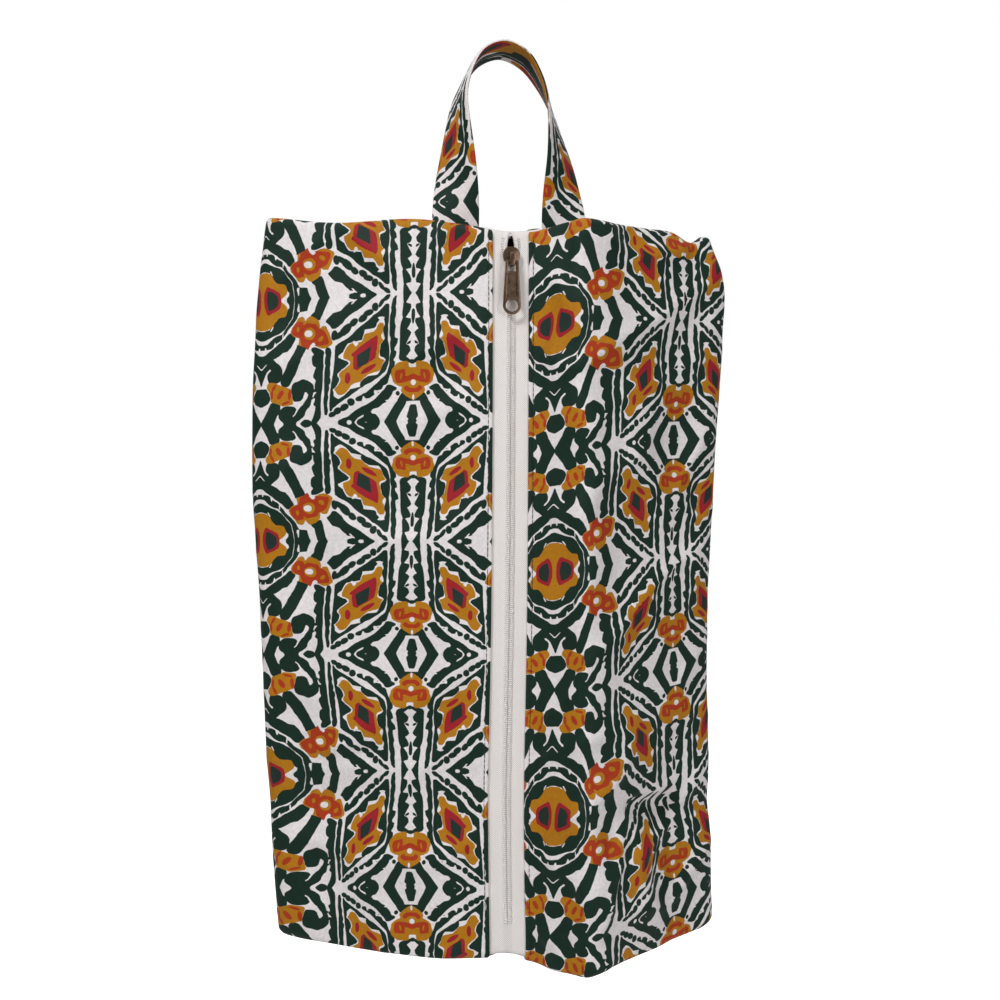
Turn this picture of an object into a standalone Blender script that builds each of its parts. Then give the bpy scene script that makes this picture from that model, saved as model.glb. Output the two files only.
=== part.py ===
"""A hanging shoe bag of printed cotton, with a zip down its front and a loop handle.

Metres, +Z up. The origin is where the bag hangs: the underside of the handle
at the top of its loop. The zip faces -Y.
"""

import math

import bmesh
import bpy
import numpy as np

# Driving dimensions of the bag
BAG_WIDTH = 0.250
BAG_DEPTH = 0.110
BAG_HEIGHT = 0.368
EDGE_ROUND = 0.004
CLOTH_WALL = 0.0012
GAP = 0.0003

# Handle
LOOP_HEIGHT = 0.094
LOOP_WIDTH = 0.059
STRAP_WIDTH = 0.0248
STRAP_WALL = 0.0018
TOP_DROOP = 0.009

# Zip
SLOT_WIDTH = 0.0186
TAPE_HIDDEN = 0.006
TAPE_WALL = 0.0010
COIL_WIDTH = 0.0020
COIL_WALL = 0.0012
COIL_END = 0.96
PARTING_TOP = 0.0028
PARTING_HALF = 0.0017

# Slider
SLIDER_DROP = 0.0130
SLIDER_WIDTH = 0.0088
SLIDER_LENGTH = 0.0096
PLATE_WALL = 0.0011
POST_LENGTH = 0.0022
BRIDGE_WIDTH = 0.0024
BRIDGE_HEIGHT = 0.0030
BRIDGE_WALL = 0.0008

# Puller
PULLER_LENGTH = 0.0274
PULLER_TOP_WIDTH = 0.0068
PULLER_END_WIDTH = 0.0092
PULLER_WALL = 0.0012
PULLER_BAR = 0.0012
WINDOW_LENGTH = 0.0044
WINDOW_RIM = 0.0014
HOLE_DIAMETER = 0.0062
PANEL_LENGTH = 0.0122
PANEL_RIM = 0.0013
PANEL_SUNK = 0.0003

# The bag's cross-section at each height. height is a share of BAG_HEIGHT
# down from the top edge at the zip. left, right, zip_side, ridge_side are
# shares of BAG_WIDTH from the line through the hang point. The others are
# shares of BAG_DEPTH in front of that line, and back is behind it. The ridge
# is the soft upright bulge to the right of the zip.
SECTIONS = (
    # height, left, right, zip_side, zip_front, ridge_side, ridge_front, back
    (0.00, 0.500, 0.470, 0.000, 0.268, 0.140, 0.400, 0.44),
    (0.05, 0.508, 0.497, 0.000, 0.268, 0.138, 0.412, 0.45),
    (0.14, 0.518, 0.494, 0.000, 0.268, 0.135, 0.430, 0.47),
    (0.33, 0.526, 0.478, -0.001, 0.268, 0.134, 0.450, 0.49),
    (0.55, 0.508, 0.461, -0.004, 0.274, 0.136, 0.465, 0.50),
    (0.80, 0.492, 0.465, -0.010, 0.273, 0.136, 0.480, 0.50),
    (1.00, 0.470, 0.472, -0.006, 0.262, 0.138, 0.490, 0.48),
)
LEFT_EDGE_BACK = 0.155
RIGHT_EDGE_BACK = 0.070

# The top and bottom edges, on the front. side is a share of BAG_WIDTH, and
# lift a share of TOP_DROOP.
TOP_EDGE = (
    # side, lift
    (-0.50, 1.65),
    (-0.36, 1.00),
    (-0.18, 0.85),
    (-0.10, 0.45),
    (0.00, 0.00),
    (0.12, 0.50),
    (0.22, 0.60),
    (0.30, 0.75),
    (0.37, 0.90),
    (0.42, 0.55),
    (0.46, 1.15),
    (0.50, 1.00),
)
BOTTOM_EDGE = (
    # side, lift
    (-0.50, 0.15),
    (-0.26, -0.25),
    (-0.15, -0.32),
    (-0.06, -0.15),
    (0.00, -0.15),
    (0.06, -0.60),
    (0.13, -0.50),
    (0.30, -0.28),
    (0.42, -0.15),
    (0.50, 0.00),
)

# Dents (negative) and ridges of the cloth. mark counts the ring's stations
# from the zip round by the left: 1 left edge, 2 left back corner, 3 right back
# corner, 4 right edge, 5 the zip again. height and along are shares of
# BAG_HEIGHT, across of BAG_WIDTH, push of BAG_DEPTH. lean turns the fold from
# upright, in degrees.
FOLDS = (
    # mark, height, along, across, lean, push
    (0.62, 0.80, 0.035, 0.20, 8.0, -0.030),
    (0.80, 0.60, 0.160, 0.05, -6.0, -0.020),
    (0.30, 0.34, 0.150, 0.06, 5.0, 0.020),
    (4.20, 0.82, 0.025, 0.12, -6.0, -0.040),
    (4.42, 0.90, 0.090, 0.03, 18.0, 0.035),
    (4.60, 0.30, 0.180, 0.05, 0.0, -0.012),
    (4.86, 0.98, 0.030, 0.03, 25.0, 0.030),
    (2.30, 0.40, 0.200, 0.07, 10.0, -0.035),
    (2.72, 0.62, 0.220, 0.06, -8.0, -0.030),
    (2.50, 0.15, 0.120, 0.10, 0.0, 0.020),
)

# The handle's centre line in its left leg and its right leg, from the seam up.
# side is a share of LOOP_WIDTH from the hang point, rise of LOOP_HEIGHT.
STRAP_LINE = (
    # side, rise
    (-0.430, 0.00),
    (-0.425, 0.18),
    (-0.418, 0.36),
    (-0.412, 0.56),
    (-0.395, 0.71),
    (-0.320, 0.84),
    (-0.190, 0.955),
    (0.000, 1.00),
    (0.200, 0.945),
    (0.335, 0.83),
    (0.428, 0.69),
    (0.488, 0.52),
    (0.526, 0.36),
    (0.545, 0.18),
    (0.565, 0.00),
)
TWIST_POWER = 1.5

# How far the handle draws up the top: along its seam in loop widths, and
# across it in shares of BAG_DEPTH.
LOOP_REACH = 1.15
SEAM_REACH = 0.16

FRONT_COLUMNS = 13
GUSSET_COLUMNS = 4
BACK_COLUMNS = 9
BODY_ROWS = 20
ROLL_ROWS = 2
PANEL_ROWS = 9

TOP_LEVEL = -LOOP_HEIGHT - TOP_DROOP
TAPE_REACH = SLOT_WIDTH / 2 + TAPE_HIDDEN
TAPE_INSET = CLOTH_WALL + GAP
COIL_INSET = TAPE_INSET - GAP - COIL_WALL
SLIDER_LEVEL = TOP_LEVEL - SLIDER_DROP


def column(table, index):
    return np.array([row[index] for row in table], float)


def through(knots, values, place):
    """A smooth curve through values at rising knots, flat beyond the ends."""
    place = np.clip(place, knots[0], knots[-1])
    index = np.clip(np.searchsorted(knots, place, "right") - 1, 0, len(knots) - 2)
    slopes = np.gradient(values, knots, axis=0)
    width = knots[index + 1] - knots[index]
    step = (place - knots[index]) / width
    a = values[index]
    b = values[index + 1]
    rise_a = slopes[index] * width
    rise_b = slopes[index + 1] * width
    return (
        a * (2 * step**3 - 3 * step**2 + 1)
        + rise_a * (step**3 - 2 * step**2 + step)
        + b * (3 * step**2 - 2 * step**3)
        + rise_b * (step**3 - step**2)
    )


def spline(points, closed, each):
    """Points along a centripetal Catmull-Rom curve, each for every stretch."""
    points = np.asarray(points, float)
    if closed:
        stretch = np.vstack([points[-1], points, points[0], points[1]])
        count = len(points)
    else:
        stretch = np.vstack([2 * points[0] - points[1], points, 2 * points[-1] - points[-2]])
        count = len(points) - 1
    made = []
    for start in range(count):
        p0, p1, p2, p3 = stretch[start : start + 4]
        t1 = np.linalg.norm(p1 - p0) ** 0.5
        t2 = t1 + np.linalg.norm(p2 - p1) ** 0.5
        t3 = t2 + np.linalg.norm(p3 - p2) ** 0.5
        for step in range(each):
            t = t1 + (t2 - t1) * step / each
            a1 = (t1 - t) / t1 * p0 + t / t1 * p1
            a2 = (t2 - t) / (t2 - t1) * p1 + (t - t1) / (t2 - t1) * p2
            a3 = (t3 - t) / (t3 - t2) * p2 + (t - t2) / (t3 - t2) * p3
            b1 = (t2 - t) / t2 * a1 + t / t2 * a2
            b2 = (t3 - t) / (t3 - t1) * a2 + (t - t1) / (t3 - t1) * a3
            made.append((t2 - t) / (t2 - t1) * b1 + (t - t1) / (t2 - t1) * b2)
    if not closed:
        made.append(points[-1])
    return np.array(made)


def section_controls(height):
    """The few points that a section's ring passes, and where its stations are."""
    heights = column(SECTIONS, 0)
    left, right, zip_side, zip_front, ridge_side, ridge_front, back = (
        through(heights, column(SECTIONS, index), height) for index in range(1, 8)
    )
    half_slot = SLOT_WIDTH / 2
    zip_x = zip_side * BAG_WIDTH
    zip_y = -zip_front * BAG_DEPTH
    left_edge = np.array([-left * BAG_WIDTH, LEFT_EDGE_BACK * BAG_DEPTH])
    right_edge = np.array([right * BAG_WIDTH, RIGHT_EDGE_BACK * BAG_DEPTH])
    ridge = np.array([ridge_side * BAG_WIDTH, -ridge_front * BAG_DEPTH])
    back_y = back * BAG_DEPTH
    left_fold = np.array([zip_x - half_slot - EDGE_ROUND, zip_y])
    right_fold = np.array([zip_x + half_slot + EDGE_ROUND, zip_y])
    full = np.array([0.0, -EDGE_ROUND])
    points = [
        (zip_x, zip_y),
        (zip_x - 0.65 * half_slot, zip_y),
        left_fold,
        left_fold + 0.36 * (left_edge - left_fold) + full,
        left_fold + 0.72 * (left_edge - left_fold) + full,
        left_edge,
        (left_edge[0] * 0.985, 0.5 * (left_edge[1] + back_y)),
        (left_edge[0] * 0.93, back_y * 0.92),
        (left_edge[0] * 0.5, back_y),
        (right_edge[0] * 0.5, back_y),
        (right_edge[0] * 0.93, back_y * 0.92),
        (right_edge[0] * 0.985, 0.5 * (right_edge[1] + back_y)),
        right_edge,
        right_edge + 0.34 * (ridge - right_edge) + full / 2,
        right_edge + 0.70 * (ridge - right_edge) + full / 2,
        ridge,
        right_fold + 0.5 * (ridge - right_fold),
        right_fold,
        (zip_x + 0.65 * half_slot, zip_y),
    ]
    return np.array(points), (0, 5, 7, 10, 12, 19)


def edge_lift(table, x):
    return through(column(table, 0) * BAG_WIDTH, column(table, 1) * TOP_DROOP, x)


def fold_push(mark, height):
    """How far the folds push the cloth outwards there."""
    push = np.zeros(np.broadcast(mark, height).shape)
    for at, level, along, across, lean, depth in FOLDS:
        side = (mark - at) * BAG_WIDTH / 2
        rise = (height - level) * BAG_HEIGHT
        turn = math.radians(lean)
        over = (side * math.cos(turn) + rise * math.sin(turn)) / (across * BAG_WIDTH)
        up = (rise * math.cos(turn) - side * math.sin(turn)) / (along * BAG_HEIGHT)
        push = push + depth * BAG_DEPTH * np.exp(-(over**2) - up**2)
    return push


class Section:
    """One ring round the bag at a height, read by station or by distance."""

    each = 12

    def __init__(self, height):
        self.height = height
        controls, stations = section_controls(height)
        self.ring = spline(controls, True, self.each)
        closed = np.vstack([self.ring, self.ring[0]])
        steps = np.linalg.norm(np.diff(closed, axis=0), axis=1)
        self.closed = closed
        self.length = np.concatenate([[0.0], np.cumsum(steps)])
        self.stations = self.length[np.array(stations) * self.each]

    def along(self, mark):
        return np.interp(mark, np.arange(6), self.stations)

    def mark_at(self, distance):
        """The mark that lies this far to the left (negative) of the zip, or right."""
        if distance < 0:
            return -distance / self.stations[1]
        return 5 - distance / (self.stations[5] - self.stations[4])

    def flat(self, mark):
        """(points, outward normals) in plan."""
        where = self.along(mark)
        x = np.interp(where, self.length, self.closed[:, 0])
        y = np.interp(where, self.length, self.closed[:, 1])
        reach = EDGE_ROUND / 2
        total = self.length[-1]
        ahead = (where + reach) % total
        behind = (where - reach) % total
        dx = np.interp(ahead, self.length, self.closed[:, 0])
        dx = dx - np.interp(behind, self.length, self.closed[:, 0])
        dy = np.interp(ahead, self.length, self.closed[:, 1])
        dy = dy - np.interp(behind, self.length, self.closed[:, 1])
        size = np.hypot(dx, dy)
        # The ring runs zip, left, back, right: outwards is to its left.
        normal = np.stack([-dy / size, dx / size], axis=-1)
        points = np.stack([x, y], axis=-1)
        push = fold_push(mark, np.full(np.shape(mark), self.height))
        return points + normal * push[..., None], normal


def roll_steps():
    """(height share, roll angle) of each row, from the top's inner rim down."""
    rows = []
    for step in range(ROLL_ROWS):
        rows.append((0.0, math.pi / 2 * (1 - step / ROLL_ROWS)))
    for step in range(BODY_ROWS + 1):
        rows.append((step / BODY_ROWS, 0.0))
    for step in range(1, ROLL_ROWS + 1):
        rows.append((1.0, -math.pi / 2 * step / ROLL_ROWS))
    return rows


def wall_points(section, marks, roll, inset):
    """Points of the cloth's face at a height, inset from the outer face."""
    flat, normal = section.flat(marks)
    top = TOP_LEVEL + edge_lift(TOP_EDGE, flat[:, 0]) - EDGE_ROUND
    bottom = TOP_LEVEL - BAG_HEIGHT + edge_lift(BOTTOM_EDGE, flat[:, 0]) + EDGE_ROUND
    level = top + (bottom - top) * section.height
    radius = EDGE_ROUND - inset
    inward = EDGE_ROUND - radius * math.cos(roll)
    plan = flat - normal * inward
    return np.column_stack([plan, level + radius * math.sin(roll)])


def body_marks(section):
    """Marks from fold to fold. The second and last but one lie at the tapes' edges."""
    left = section.mark_at(-SLOT_WIDTH / 2)
    right = section.mark_at(SLOT_WIDTH / 2)
    left_tape = section.mark_at(-TAPE_REACH)
    right_tape = section.mark_at(TAPE_REACH)
    return np.concatenate(
        [
            [left],
            np.linspace(left_tape, 1, FRONT_COLUMNS - 1, endpoint=False),
            np.linspace(1, 2, GUSSET_COLUMNS, endpoint=False),
            np.linspace(2, 3, BACK_COLUMNS, endpoint=False),
            np.linspace(3, 4, GUSSET_COLUMNS, endpoint=False),
            np.linspace(4, right_tape, FRONT_COLUMNS),
            [right],
        ]
    )


def sheet_mesh(name, outer, inner):
    """A closed wall between two grids of points, rows by columns."""
    rows, columns = outer.shape[:2]
    points = np.concatenate([outer.reshape(-1, 3), inner.reshape(-1, 3)])
    under = rows * columns
    faces = []
    for i in range(rows - 1):
        for j in range(columns - 1):
            a = i * columns + j
            b = a + columns
            faces.append((a, b, b + 1, a + 1))
            faces.append((under + a, under + a + 1, under + b + 1, under + b))
    rim = [j for j in range(columns)]
    rim += [i * columns + columns - 1 for i in range(1, rows)]
    rim += [(rows - 1) * columns + j for j in range(columns - 2, -1, -1)]
    rim += [i * columns for i in range(rows - 2, 0, -1)]
    for a, b in zip(rim, rim[1:] + rim[:1]):
        faces.append((a, b, under + b, under + a))
    mesh = bpy.data.meshes.new(name)
    mesh.from_pydata([tuple(point) for point in points], [], faces)
    return mesh


def finish_mesh(name, mesh, material, sharp_degrees=40):
    shape = bmesh.new()
    shape.from_mesh(mesh)
    bmesh.ops.recalc_face_normals(shape, faces=shape.faces)
    shape.to_mesh(mesh)
    shape.free()
    mesh.shade_smooth()
    mesh.set_sharp_from_angle(angle=math.radians(sharp_degrees))
    mesh.materials.append(material)
    piece = bpy.data.objects.new(name, mesh)
    bpy.context.scene.collection.objects.link(piece)
    return piece


def material(name, colour, roughness, metallic=0.0):
    made = bpy.data.materials.new(name)
    made.use_nodes = True
    shader = made.node_tree.nodes["Principled BSDF"]
    shader.inputs["Base Color"].default_value = (*colour, 1)
    shader.inputs["Roughness"].default_value = roughness
    shader.inputs["Metallic"].default_value = metallic
    return made


def bag_body(cloth):
    outer = []
    inner = []
    for height, roll in roll_steps():
        section = Section(height)
        marks = body_marks(section)
        outer.append(wall_points(section, marks, roll, 0.0))
        inner.append(wall_points(section, marks, roll, CLOTH_WALL))
    return finish_mesh("bag_body", sheet_mesh("bag_body", np.array(outer), np.array(inner)), cloth)


def rim_curve(section, marks, roll, count):
    """The body's inner rim at these marks with the panel's gap, as count points."""
    points = wall_points(section, marks, roll, 0.0)
    points[:, :2] -= section.flat(marks)[1] * GAP
    if count == len(points):
        return points
    steps = np.linalg.norm(np.diff(points, axis=0), axis=1)
    length = np.concatenate([[0.0], np.cumsum(steps)])
    places = np.linspace(0, length[-1], count)
    return np.column_stack([np.interp(places, length, points[:, axis]) for axis in range(3)])


def panel(name, height, side, cloth):
    """The boxed end inside the rolled rim: a patch between the four edges."""
    section = Section(height)
    roll = side * math.pi / 2
    marks = body_marks(section)
    corners = [FRONT_COLUMNS]
    for columns in (GUSSET_COLUMNS, BACK_COLUMNS, GUSSET_COLUMNS):
        corners.append(corners[-1] + columns)
    left_front, left_back, right_back, right_front = corners
    front_marks = np.concatenate([marks[: left_front + 1][::-1], [0.0], marks[right_front:][::-1]])
    across = len(front_marks)
    front = rim_curve(section, front_marks, roll, across)
    back = rim_curve(section, marks[left_back : right_back + 1], roll, across)
    left = rim_curve(section, marks[left_front : left_back + 1], roll, PANEL_ROWS)
    right = rim_curve(section, marks[right_back : right_front + 1][::-1], roll, PANEL_ROWS)
    u = np.linspace(0, 1, across)[None, :, None]
    v = np.linspace(0, 1, PANEL_ROWS)[:, None, None]
    patch = (1 - v) * front[None] + v * back[None] + (1 - u) * left[:, None] + u * right[:, None]
    patch -= (1 - u) * (1 - v) * front[0] + u * (1 - v) * front[-1]
    patch -= (1 - u) * v * back[0] + u * v * back[-1]
    patch[..., 2] += seam_rise(patch, v[..., 0] * np.ones((1, across)), side)
    inner = patch.copy()
    inner[..., 2] -= side * CLOTH_WALL
    return finish_mesh(name, sheet_mesh(name, patch, inner), cloth)


def seam_rise(patch, depth_share, side):
    """The lengthwise seam stands up, and the handle's ends draw the top to them."""
    edge_free = 1 - np.cos(math.pi * depth_share) ** 4
    if side < 0:
        return -edge_free * GAP
    wanted = -LOOP_HEIGHT - GAP - patch[..., 2]
    near = np.exp(-((patch[..., 0] / LOOP_WIDTH / LOOP_REACH) ** 8))
    ridge = np.exp(-((patch[..., 1] / BAG_DEPTH / SEAM_REACH) ** 4))
    return edge_free * near * ridge * wanted


def tape_half_parting(level):
    """How far the zip's halves stand from its middle line above the slider."""
    tip = TOP_LEVEL - PARTING_TOP
    widest = SLIDER_LEVEL + SLIDER_LENGTH / 2
    closed = SLIDER_LEVEL - SLIDER_LENGTH / 2
    if level > tip or level < closed:
        return 0.0
    if level > widest:
        return PARTING_HALF * math.sin(math.pi / 2 * (tip - level) / (tip - widest))
    return PARTING_HALF * math.sin(math.pi / 2 * (level - closed) / (widest - closed))


def zip_rows():
    """The body's rows, with more of them where the zip parts."""
    rows = roll_steps()
    fine = SLIDER_DROP + SLIDER_LENGTH
    for step in range(1, 14):
        rows.append((step / 14 * fine / BAG_HEIGHT, 0.0))
    rows.sort(key=lambda row: (row[0], -row[1]))
    return rows


def zip_strip(name, side, stops, inset, wall, rows, material_):
    """A strip beside the zip's middle line, through stops at rising distances."""
    outer = []
    inner = []
    for height, roll in rows:
        section = Section(height)
        level = wall_points(section, np.array([0.0]), roll, inset)[0, 2]
        parting = tape_half_parting(level)
        moved = [stop + parting if stop < SLOT_WIDTH / 4 else stop for stop in stops]
        marks = np.array([section.mark_at(side * distance) for distance in moved])
        outer.append(wall_points(section, marks, roll, inset))
        inner.append(wall_points(section, marks, roll, inset + wall))
    return finish_mesh(name, sheet_mesh(name, np.array(outer), np.array(inner)), material_)


def prism(name, outline, low, high):
    """An outline in X and Z, drawn out along Y from low to high."""
    shape = bmesh.new()
    near = [shape.verts.new((x, low, z)) for x, z in outline]
    far = [shape.verts.new((x, high, z)) for x, z in outline]
    shape.faces.new(near)
    shape.faces.new(far[::-1])
    for i in range(len(outline)):
        j = (i + 1) % len(outline)
        shape.faces.new((near[j], near[i], far[i], far[j]))
    bmesh.ops.recalc_face_normals(shape, faces=shape.faces)
    mesh = bpy.data.meshes.new(name)
    shape.to_mesh(mesh)
    shape.free()
    piece = bpy.data.objects.new(name, mesh)
    bpy.context.scene.collection.objects.link(piece)
    return piece


def helper(piece):
    piece.hide_render = True
    piece.display_type = "WIRE"
    return piece


def combine(piece, other, operation):
    change = piece.modifiers.new(other.name, "BOOLEAN")
    change.operation = operation
    change.object = helper(other)


def slider_outline():
    """A round-shouldered shield: wide above, a little narrower below."""
    outline = []
    for step in range(20):
        angle = 2 * math.pi * step / 20
        squarer = 1 - 0.06 * math.cos(4 * angle)
        taper = 1 + 0.05 * math.sin(angle)
        outline.append(
            (
                SLIDER_WIDTH / 2 * math.cos(angle) * squarer * taper,
                SLIDER_LENGTH / 2 * math.sin(angle) * squarer,
            )
        )
    return outline


def face_at_slider():
    """The cloth's outer face at the zip's middle, at the slider's level."""
    share = (SLIDER_DROP - EDGE_ROUND) / (BAG_HEIGHT - 2 * EDGE_ROUND)
    point, _ = Section(share).flat(np.array([0.0]))
    return point[0]


def puller_hinge():
    x, y = face_at_slider()
    plate_face = y + COIL_INSET - GAP - PLATE_WALL
    reach = GAP + PULLER_BAR / 2
    return x, plate_face - reach, SLIDER_LEVEL - SLIDER_LENGTH / 2 + BRIDGE_WALL + GAP + PULLER_BAR / 2


def zip_slider(brass):
    x, y = face_at_slider()
    face = y + COIL_INSET - GAP
    behind = y + TAPE_INSET + TAPE_WALL + GAP
    top = prism("zip_slider", slider_outline(), face - PLATE_WALL, face)
    low = prism("slider_back_plate", slider_outline(), behind, behind + PLATE_WALL)
    post_half = PARTING_HALF - GAP
    post_top = SLIDER_LENGTH / 2 * 0.92
    post_outline = [
        (-post_half, post_top),
        (post_half, post_top),
        (post_half * 0.55, post_top - POST_LENGTH),
        (-post_half * 0.55, post_top - POST_LENGTH),
    ]
    overlap = PLATE_WALL / 2
    post = prism("slider_post", post_outline, face - overlap, behind + overlap)
    bridge = bridge_arch(face - PLATE_WALL)
    combine(top, low, "UNION")
    combine(top, post, "UNION")
    combine(top, bridge, "UNION")
    for piece in (top, low, post, bridge):
        piece.location = (x, 0, SLIDER_LEVEL)
    top.data.materials.append(brass)
    top.data.shade_smooth()
    top.data.set_sharp_from_angle(angle=math.radians(40))
    return top


def bridge_arch(plate_face):
    """The bridge over the plate: a bent strip, with room for the puller's bar."""
    low = -SLIDER_LENGTH / 2
    bar_room = PULLER_BAR + 2 * GAP
    foot = low + SLIDER_LENGTH * 0.80
    outer = [
        (low, 0.0),
        (low, bar_room * 0.7),
        (low + BRIDGE_WALL, BRIDGE_HEIGHT),
        (low + SLIDER_LENGTH * 0.35, BRIDGE_HEIGHT),
        (low + SLIDER_LENGTH * 0.62, BRIDGE_HEIGHT * 0.70),
        (foot, 0.0),
    ]
    room_end = low + BRIDGE_WALL + bar_room
    sunk = PLATE_WALL / 2
    arch = bpy.data.meshes.new("slider_bridge")
    shape = bmesh.new()
    profile = outer + [(foot, -sunk), (room_end, -sunk), (room_end, bar_room)]
    profile += [(low + BRIDGE_WALL, bar_room), (low + BRIDGE_WALL, -sunk), (low, -sunk)]
    half = BRIDGE_WIDTH / 2
    left = [shape.verts.new((-half, plate_face - h, z)) for z, h in profile]
    right = [shape.verts.new((half, plate_face - h, z)) for z, h in profile]
    shape.faces.new(left)
    shape.faces.new(right[::-1])
    for i in range(len(profile)):
        j = (i + 1) % len(profile)
        shape.faces.new((left[j], left[i], right[i], right[j]))
    bmesh.ops.recalc_face_normals(shape, faces=shape.faces)
    shape.to_mesh(arch)
    shape.free()
    piece = bpy.data.objects.new("slider_bridge", arch)
    bpy.context.scene.collection.objects.link(piece)
    return piece


def puller_outline():
    """Square-shouldered above, widening to the round end below."""
    top = PULLER_BAR / 2
    round_radius = PULLER_END_WIDTH / 2
    centre = top - PULLER_LENGTH + round_radius
    outline = [
        (-PULLER_TOP_WIDTH / 2 + PANEL_RIM / 2, top),
        (PULLER_TOP_WIDTH / 2 - PANEL_RIM / 2, top),
        (PULLER_TOP_WIDTH / 2, top - PANEL_RIM / 2),
    ]
    for step in range(13):
        angle = -math.pi * step / 12
        outline.append((round_radius * math.cos(angle), centre + round_radius * math.sin(angle)))
    outline.append((-PULLER_TOP_WIDTH / 2, top - PANEL_RIM / 2))
    return outline


def zip_puller(brass):
    x, y, z = puller_hinge()
    low, high = -PULLER_WALL / 2, PULLER_WALL / 2
    puller = prism("zip_puller", puller_outline(), low, high)
    past = PULLER_WALL
    window_half = PULLER_TOP_WIDTH / 2 - WINDOW_RIM
    window_top = -PULLER_BAR / 2
    window = prism(
        "puller_window",
        [
            (-window_half, window_top),
            (window_half, window_top),
            (window_half, window_top - WINDOW_LENGTH),
            (-window_half, window_top - WINDOW_LENGTH),
        ],
        low - past,
        high + past,
    )
    hole_level = PULLER_BAR / 2 - PULLER_LENGTH + PULLER_END_WIDTH / 2
    ring = [
        (
            HOLE_DIAMETER / 2 * math.cos(2 * math.pi * step / 16),
            hole_level + HOLE_DIAMETER / 2 * math.sin(2 * math.pi * step / 16),
        )
        for step in range(16)
    ]
    hole = prism("puller_hole", ring, low - past, high + past)
    panel_top = window_top - WINDOW_LENGTH - PANEL_RIM
    panel_half = PULLER_TOP_WIDTH / 2 - PANEL_RIM
    sunk = prism(
        "puller_panel",
        [
            (-panel_half, panel_top),
            (panel_half, panel_top),
            (panel_half * 1.2, panel_top - PANEL_LENGTH),
            (-panel_half * 1.2, panel_top - PANEL_LENGTH),
        ],
        low - past,
        low + PANEL_SUNK,
    )
    for cutter in (window, hole, sunk):
        combine(puller, cutter, "DIFFERENCE")
    for piece in (puller, window, hole, sunk):
        piece.location = (x, y, z)
    puller.data.materials.append(brass)
    puller.data.shade_smooth()
    puller.data.set_sharp_from_angle(angle=math.radians(40))
    return puller


def handle_strap(cloth):
    """A flat strap over the loop's line, edge on to the front at its top."""
    line = [
        (side * LOOP_WIDTH, 0.0, (rise - 1) * LOOP_HEIGHT + rise * STRAP_WALL / 2)
        for side, rise in STRAP_LINE
    ]
    path = spline(line, False, 3)
    tangent = np.gradient(path, axis=0)
    tangent /= np.linalg.norm(tangent, axis=1)[:, None]
    rise = np.clip((path[:, 2] - path[0, 2]) / LOOP_HEIGHT, 0, 1)
    turn = math.pi / 2 * (1 - (1 - rise) ** TWIST_POWER)
    # Both inner edges come to the front at the top, both outer edges go back.
    flat_across = np.column_stack([tangent[:, 2], np.zeros(len(path)), -tangent[:, 0]])
    depth = np.array([0.0, -1.0, 0.0])
    across = np.cos(turn)[:, None] * flat_across + np.sin(turn)[:, None] * depth
    across /= np.linalg.norm(across, axis=1)[:, None]
    out = np.cross(across, tangent)
    shares = np.linspace(-0.5, 0.5, 5)
    centre = path[:, None] + shares[None, :, None] * STRAP_WIDTH * across[:, None]
    outer = centre + out[:, None] * STRAP_WALL / 2
    inner = centre - out[:, None] * STRAP_WALL / 2
    for end in (0, -1):
        outer[end, :, 2] = -LOOP_HEIGHT
        inner[end, :, 2] = -LOOP_HEIGHT
    return finish_mesh("handle_strap", sheet_mesh("handle_strap", outer, inner), cloth)


def clear_scene():
    for piece in list(bpy.data.objects):
        bpy.data.objects.remove(piece)


def build():
    clear_scene()
    cloth = material("printed_cotton", (0.16, 0.20, 0.14), 0.85)
    tape = material("zip_tape", (0.85, 0.80, 0.77), 0.9)
    nylon = material("nylon_coil", (0.88, 0.84, 0.82), 0.45)
    brass = material("antique_brass", (0.17, 0.13, 0.08), 0.42, 1.0)
    bag_body(cloth)
    panel("top_panel", 0.0, 1, cloth)
    panel("bottom_panel", 1.0, -1, cloth)
    middle = GAP / 2
    rows = zip_rows()
    coil_rows = [row for row in rows if row[1] == 0.0 and row[0] < COIL_END]
    tape_stops = (middle, SLOT_WIDTH / 2, TAPE_REACH)
    coil_stops = (middle, middle + COIL_WIDTH)
    for side, word in ((-1, "left"), (1, "right")):
        zip_strip(f"zip_tape_{word}", side, tape_stops, TAPE_INSET, TAPE_WALL, rows, tape)
        zip_strip(f"zip_coil_{word}", side, coil_stops, COIL_INSET, COIL_WALL, coil_rows, nylon)
    zip_slider(brass)
    zip_puller(brass)
    handle_strap(cloth)


build()
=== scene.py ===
import math
import bpy
import bmesh
import numpy as np
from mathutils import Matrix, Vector, noise


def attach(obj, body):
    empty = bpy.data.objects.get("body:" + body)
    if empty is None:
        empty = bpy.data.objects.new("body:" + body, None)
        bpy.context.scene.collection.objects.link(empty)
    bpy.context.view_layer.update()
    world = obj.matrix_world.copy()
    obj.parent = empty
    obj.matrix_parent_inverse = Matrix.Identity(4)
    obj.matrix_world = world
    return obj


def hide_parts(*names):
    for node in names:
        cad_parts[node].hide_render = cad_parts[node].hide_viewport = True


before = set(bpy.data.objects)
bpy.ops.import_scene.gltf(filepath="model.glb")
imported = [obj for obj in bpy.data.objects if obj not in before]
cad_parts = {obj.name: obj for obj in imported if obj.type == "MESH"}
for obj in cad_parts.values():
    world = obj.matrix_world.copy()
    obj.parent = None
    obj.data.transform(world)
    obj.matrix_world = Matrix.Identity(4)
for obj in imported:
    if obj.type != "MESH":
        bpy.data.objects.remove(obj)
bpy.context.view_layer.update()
scene = bpy.context.scene
mm = 0.001


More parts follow.
